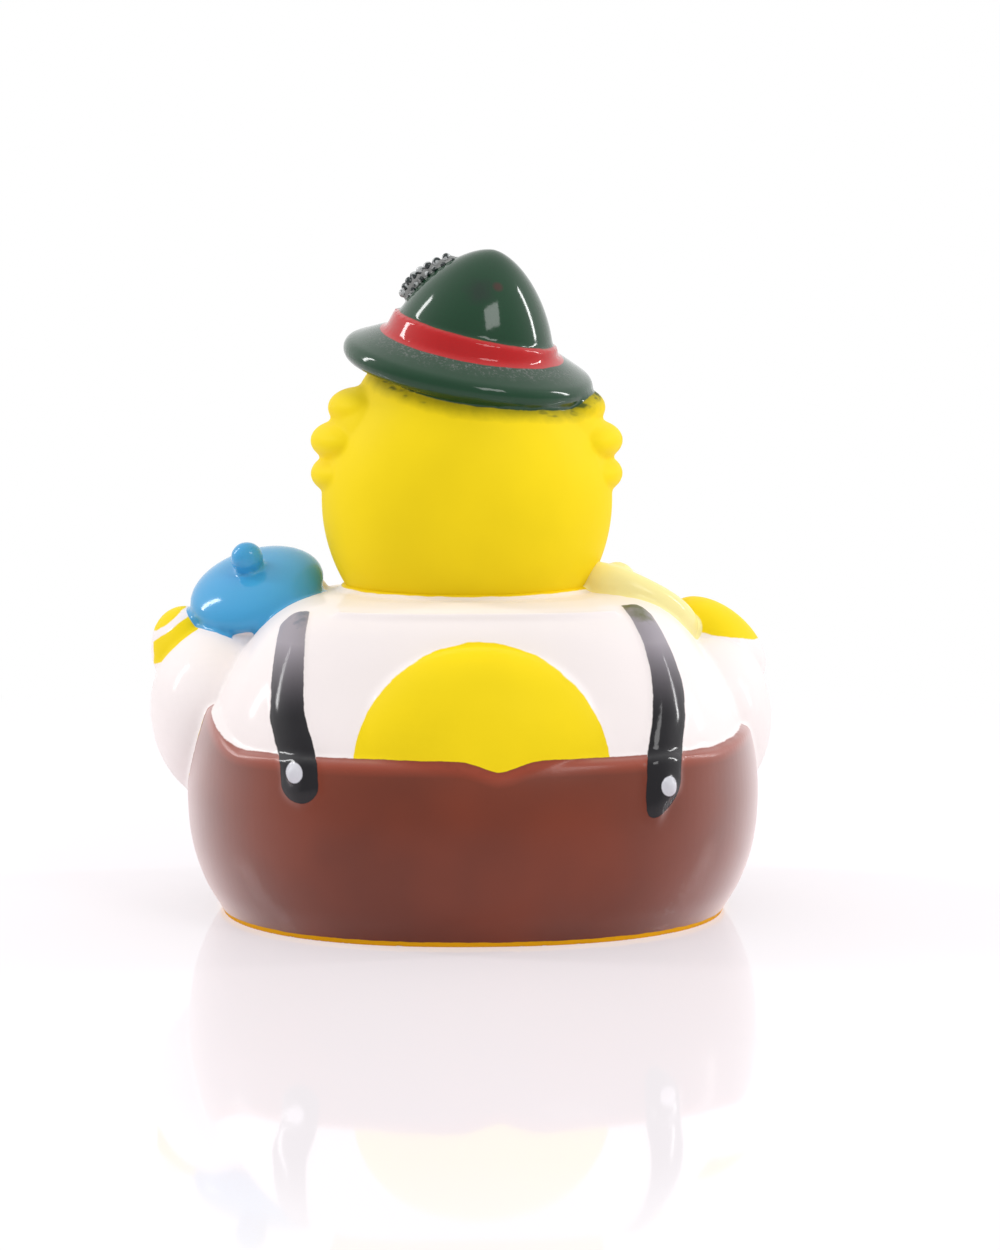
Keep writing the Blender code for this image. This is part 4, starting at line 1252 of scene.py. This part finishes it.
def painted_body():
    graph = Vinyl("painted_vinyl_body", 0.12)
    graph.tinted(DEEP_YELLOW, graph.inside(graph.edge("base_edge"), 0.6))
    # The braces' black gets a painted sheen of light towards the shoulders, and real teal and olive smears
    masks = graph.painted(BODY_PAINTS, "strap_edge", smeared_black_with_painted_sheen)
    not_on_top = (1.0 - masks["strap_edge"]) * (1.0 - masks["button_edge"])
    satin = satin_brown(graph, graph.grained())
    graph.blend(satin, masks["brown_edge"] * not_on_top)
    return graph.material


def worn_green(graph, tint, gloss):
    """Dust round the ribbon, a dull smudge and a red speck on the crown."""
    grain = ((graph.noise(2600.0, 2.0, 0.7) - 0.52) * 8.0).held()
    near_ribbon = graph.inside(graph.edge("dust_edge") - 2.6 + (graph.fine - 0.5) * 3.0, 2.4)
    dust = near_ribbon * (grain * 0.7 + 0.12)
    smudge = graph.inside(graph.edge("smudge_edge") + (graph.fine - 0.5) * 2.0, 1.6) * 0.55
    speck = graph.inside(graph.edge("red_spot_edge"), 0.5) * 0.7
    tint = graph.over(tint, SMUDGE_GREY, smudge)
    tint = graph.over(tint, SPECK_RED, speck)
    tint = graph.over(tint, DUST_GREY, dust)
    return tint, graph.level(gloss, 0.2, (dust + smudge).held())


def painted_head():
    """Green that ran under the brim lies on the yellow, below the paints themselves."""
    graph = Vinyl("painted_vinyl_head", 0.09)
    under_brim = graph.edge("green_edge") + graph.wobble * 3.0
    mist = graph.inside(under_brim - 0.8, 2.4)
    graph.tinted(OLIVE, mist * 0.85)
    smear = ((graph.across() - 0.010) * 120.0).held() * 0.10
    blotches = graph.noise(330.0, 2.0, 0.6, (0.6, 1.0, 2.4))
    runs = ((blotches + smear - 0.56) * 9.0).held()
    graph.tinted(GREEN, graph.inside(under_brim - 0.9, 0.5) * runs * 0.8)
    graph.painted(HEAD_PAINTS, "green_edge", worn_green)
    graph.grained()
    return graph.material


def glossy_beads():
    graph = Graph("feather_beads", Roughness=0.12)
    patch = ((graph.noise(1400.0, 1.0) - 0.48) * 12.0).held()
    graph.feed("Base Color", graph.over(BEAD_DARK, BEAD_PALE, patch))
    return graph.material


def plug_plastic():
    graph = Graph("plug_plastic")
    fine = graph.noise(900.0, 3.0)
    graph.feed("Base Color", graph.over(PLUG_DARK, PLUG_PALE, fine))
    graph.feed("Roughness", graph.level(0.38, 0.52, fine))
    return graph.material


def reed_metal():
    graph = Graph("reed_metal", Metallic=1.0)
    lines = graph.noise(1500.0, 2.0, 0.5, (1.0, 0.08, 1.0))
    graph.feed("Base Color", graph.over(REED_DARK, REED_PALE, lines))
    graph.feed("Roughness", graph.level(0.25, 0.42, lines))
    return graph.material


def wears(piece, material):
    piece.data.materials.clear()
    piece.data.materials.append(material)


# Studio

def floor():
    """A glossy white table. The shadow and a faint reflection show near the duck, and fade to white; near
    the duck its white glow is also painted pink, a painted reflection of the duck.
    """
    unselect()
    bpy.ops.mesh.primitive_plane_add(size=TABLE_SIZE)
    table = settled("table_top")
    graph = Graph("white_table", Base_Color=TABLE_WHITE, Roughness=0.04)
    seen = graph.node("ShaderNodeLightPath", {}, {}, "Is Camera Ray")
    reach = graph.node("ShaderNodeVectorMath", {"operation": "LENGTH"}, {0: graph.place}, "Value")
    far = ((reach - TABLE_FADE_FROM) / TABLE_FADE_OVER).held()
    # Painted reflection: the table's glow is pink near the duck and white further off
    tint = graph.over(TABLE_REFLECTION_PINK, PURE_WHITE, far)
    glow = graph.node("ShaderNodeEmission", {}, {"Color": tint, "Strength": 1.0})
    graph.blend(glow, seen * graph.level(TABLE_GLOW, 1.0, far))
    wears(table, graph.material)


def world():
    """White behind and beside the duck, dimmer on the camera's side."""
    made = bpy.data.worlds.new("studio_white")
    made.use_nodes = True
    tree = made.node_tree
    background = tree.nodes["Background"]
    background.inputs["Color"].default_value = PURE_WHITE
    rays = tree.nodes.new("ShaderNodeLightPath")
    way = tree.nodes.new("ShaderNodeTexCoord")
    parts = tree.nodes.new("ShaderNodeSeparateXYZ")
    fall = tree.nodes.new("ShaderNodeMapRange")
    fall.interpolation_type = "SMOOTHSTEP"
    fall.inputs["From Min"].default_value = GLOW_FALL[0]
    fall.inputs["From Max"].default_value = GLOW_FALL[1]
    fall.inputs["To Min"].default_value = FRONT_GLOW
    fall.inputs["To Max"].default_value = BACK_GLOW
    seen = tree.nodes.new("ShaderNodeMix")
    seen.inputs["B"].default_value = 1.0
    upward = tree.nodes.new("ShaderNodeMath")
    upward.operation = "MULTIPLY_ADD"
    upward.inputs[1].default_value = GLOW_UPWARD
    tree.links.new(way.outputs["Generated"], parts.inputs[0])
    tree.links.new(parts.outputs["Z"], upward.inputs[0])
    tree.links.new(parts.outputs["Y"], upward.inputs[2])
    tree.links.new(upward.outputs[0], fall.inputs["Value"])
    tree.links.new(rays.outputs["Is Camera Ray"], seen.inputs["Factor"])
    tree.links.new(fall.outputs[0], seen.inputs["A"])
    tree.links.new(seen.outputs[0], background.inputs["Strength"])
    bpy.context.scene.world = made


def softbox(name, place, size, watts):
    light = bpy.data.lights.new(name, "AREA")
    light.shape = "RECTANGLE"
    light.size, light.size_y = size
    light.energy = watts
    lamp = bpy.data.objects.new(name, light)
    lamp.location = place
    lamp.rotation_euler = (Vector(LIGHTS_AIM) - Vector(place)).to_track_quat("-Z", "Y").to_euler()
    bpy.context.scene.collection.objects.link(lamp)


def studio():
    floor()
    world()
    for row in SOFTBOXES:
        softbox(*row)


def camera():
    lens = bpy.data.cameras.new("camera")
    lens.lens = LENS_MM
    lens.sensor_width = SENSOR_MM
    lens.clip_start = 0.01
    lens.clip_end = 20.0
    eye = bpy.data.objects.new("camera", lens)
    way = Vector((math.sin(CAMERA_TURN), -math.cos(CAMERA_TURN), math.tan(CAMERA_RISE)))
    eye.location = CAMERA_AIM + CAMERA_DISTANCE * way
    eye.rotation_euler = (CAMERA_AIM - eye.location).to_track_quat("-Z", "Y").to_euler()
    bpy.context.scene.collection.objects.link(eye)
    bpy.context.scene.camera = eye


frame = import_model()

camera()
body = body_skin()
paint_body(body)
wears(body, painted_body())
head = head_skin()
paint_head(head)
wears(head, painted_head())
string = beads()
wears(string, glossy_beads())
for piece in (body, head, string):
    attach(piece, "root")
    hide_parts("duck_body")
wears(frame["nodes"]["whistle_plug"], plug_plastic())
wears(frame["nodes"]["whistle_reed"], reed_metal())
studio()

bpy.context.scene.view_settings.view_transform = "Standard"
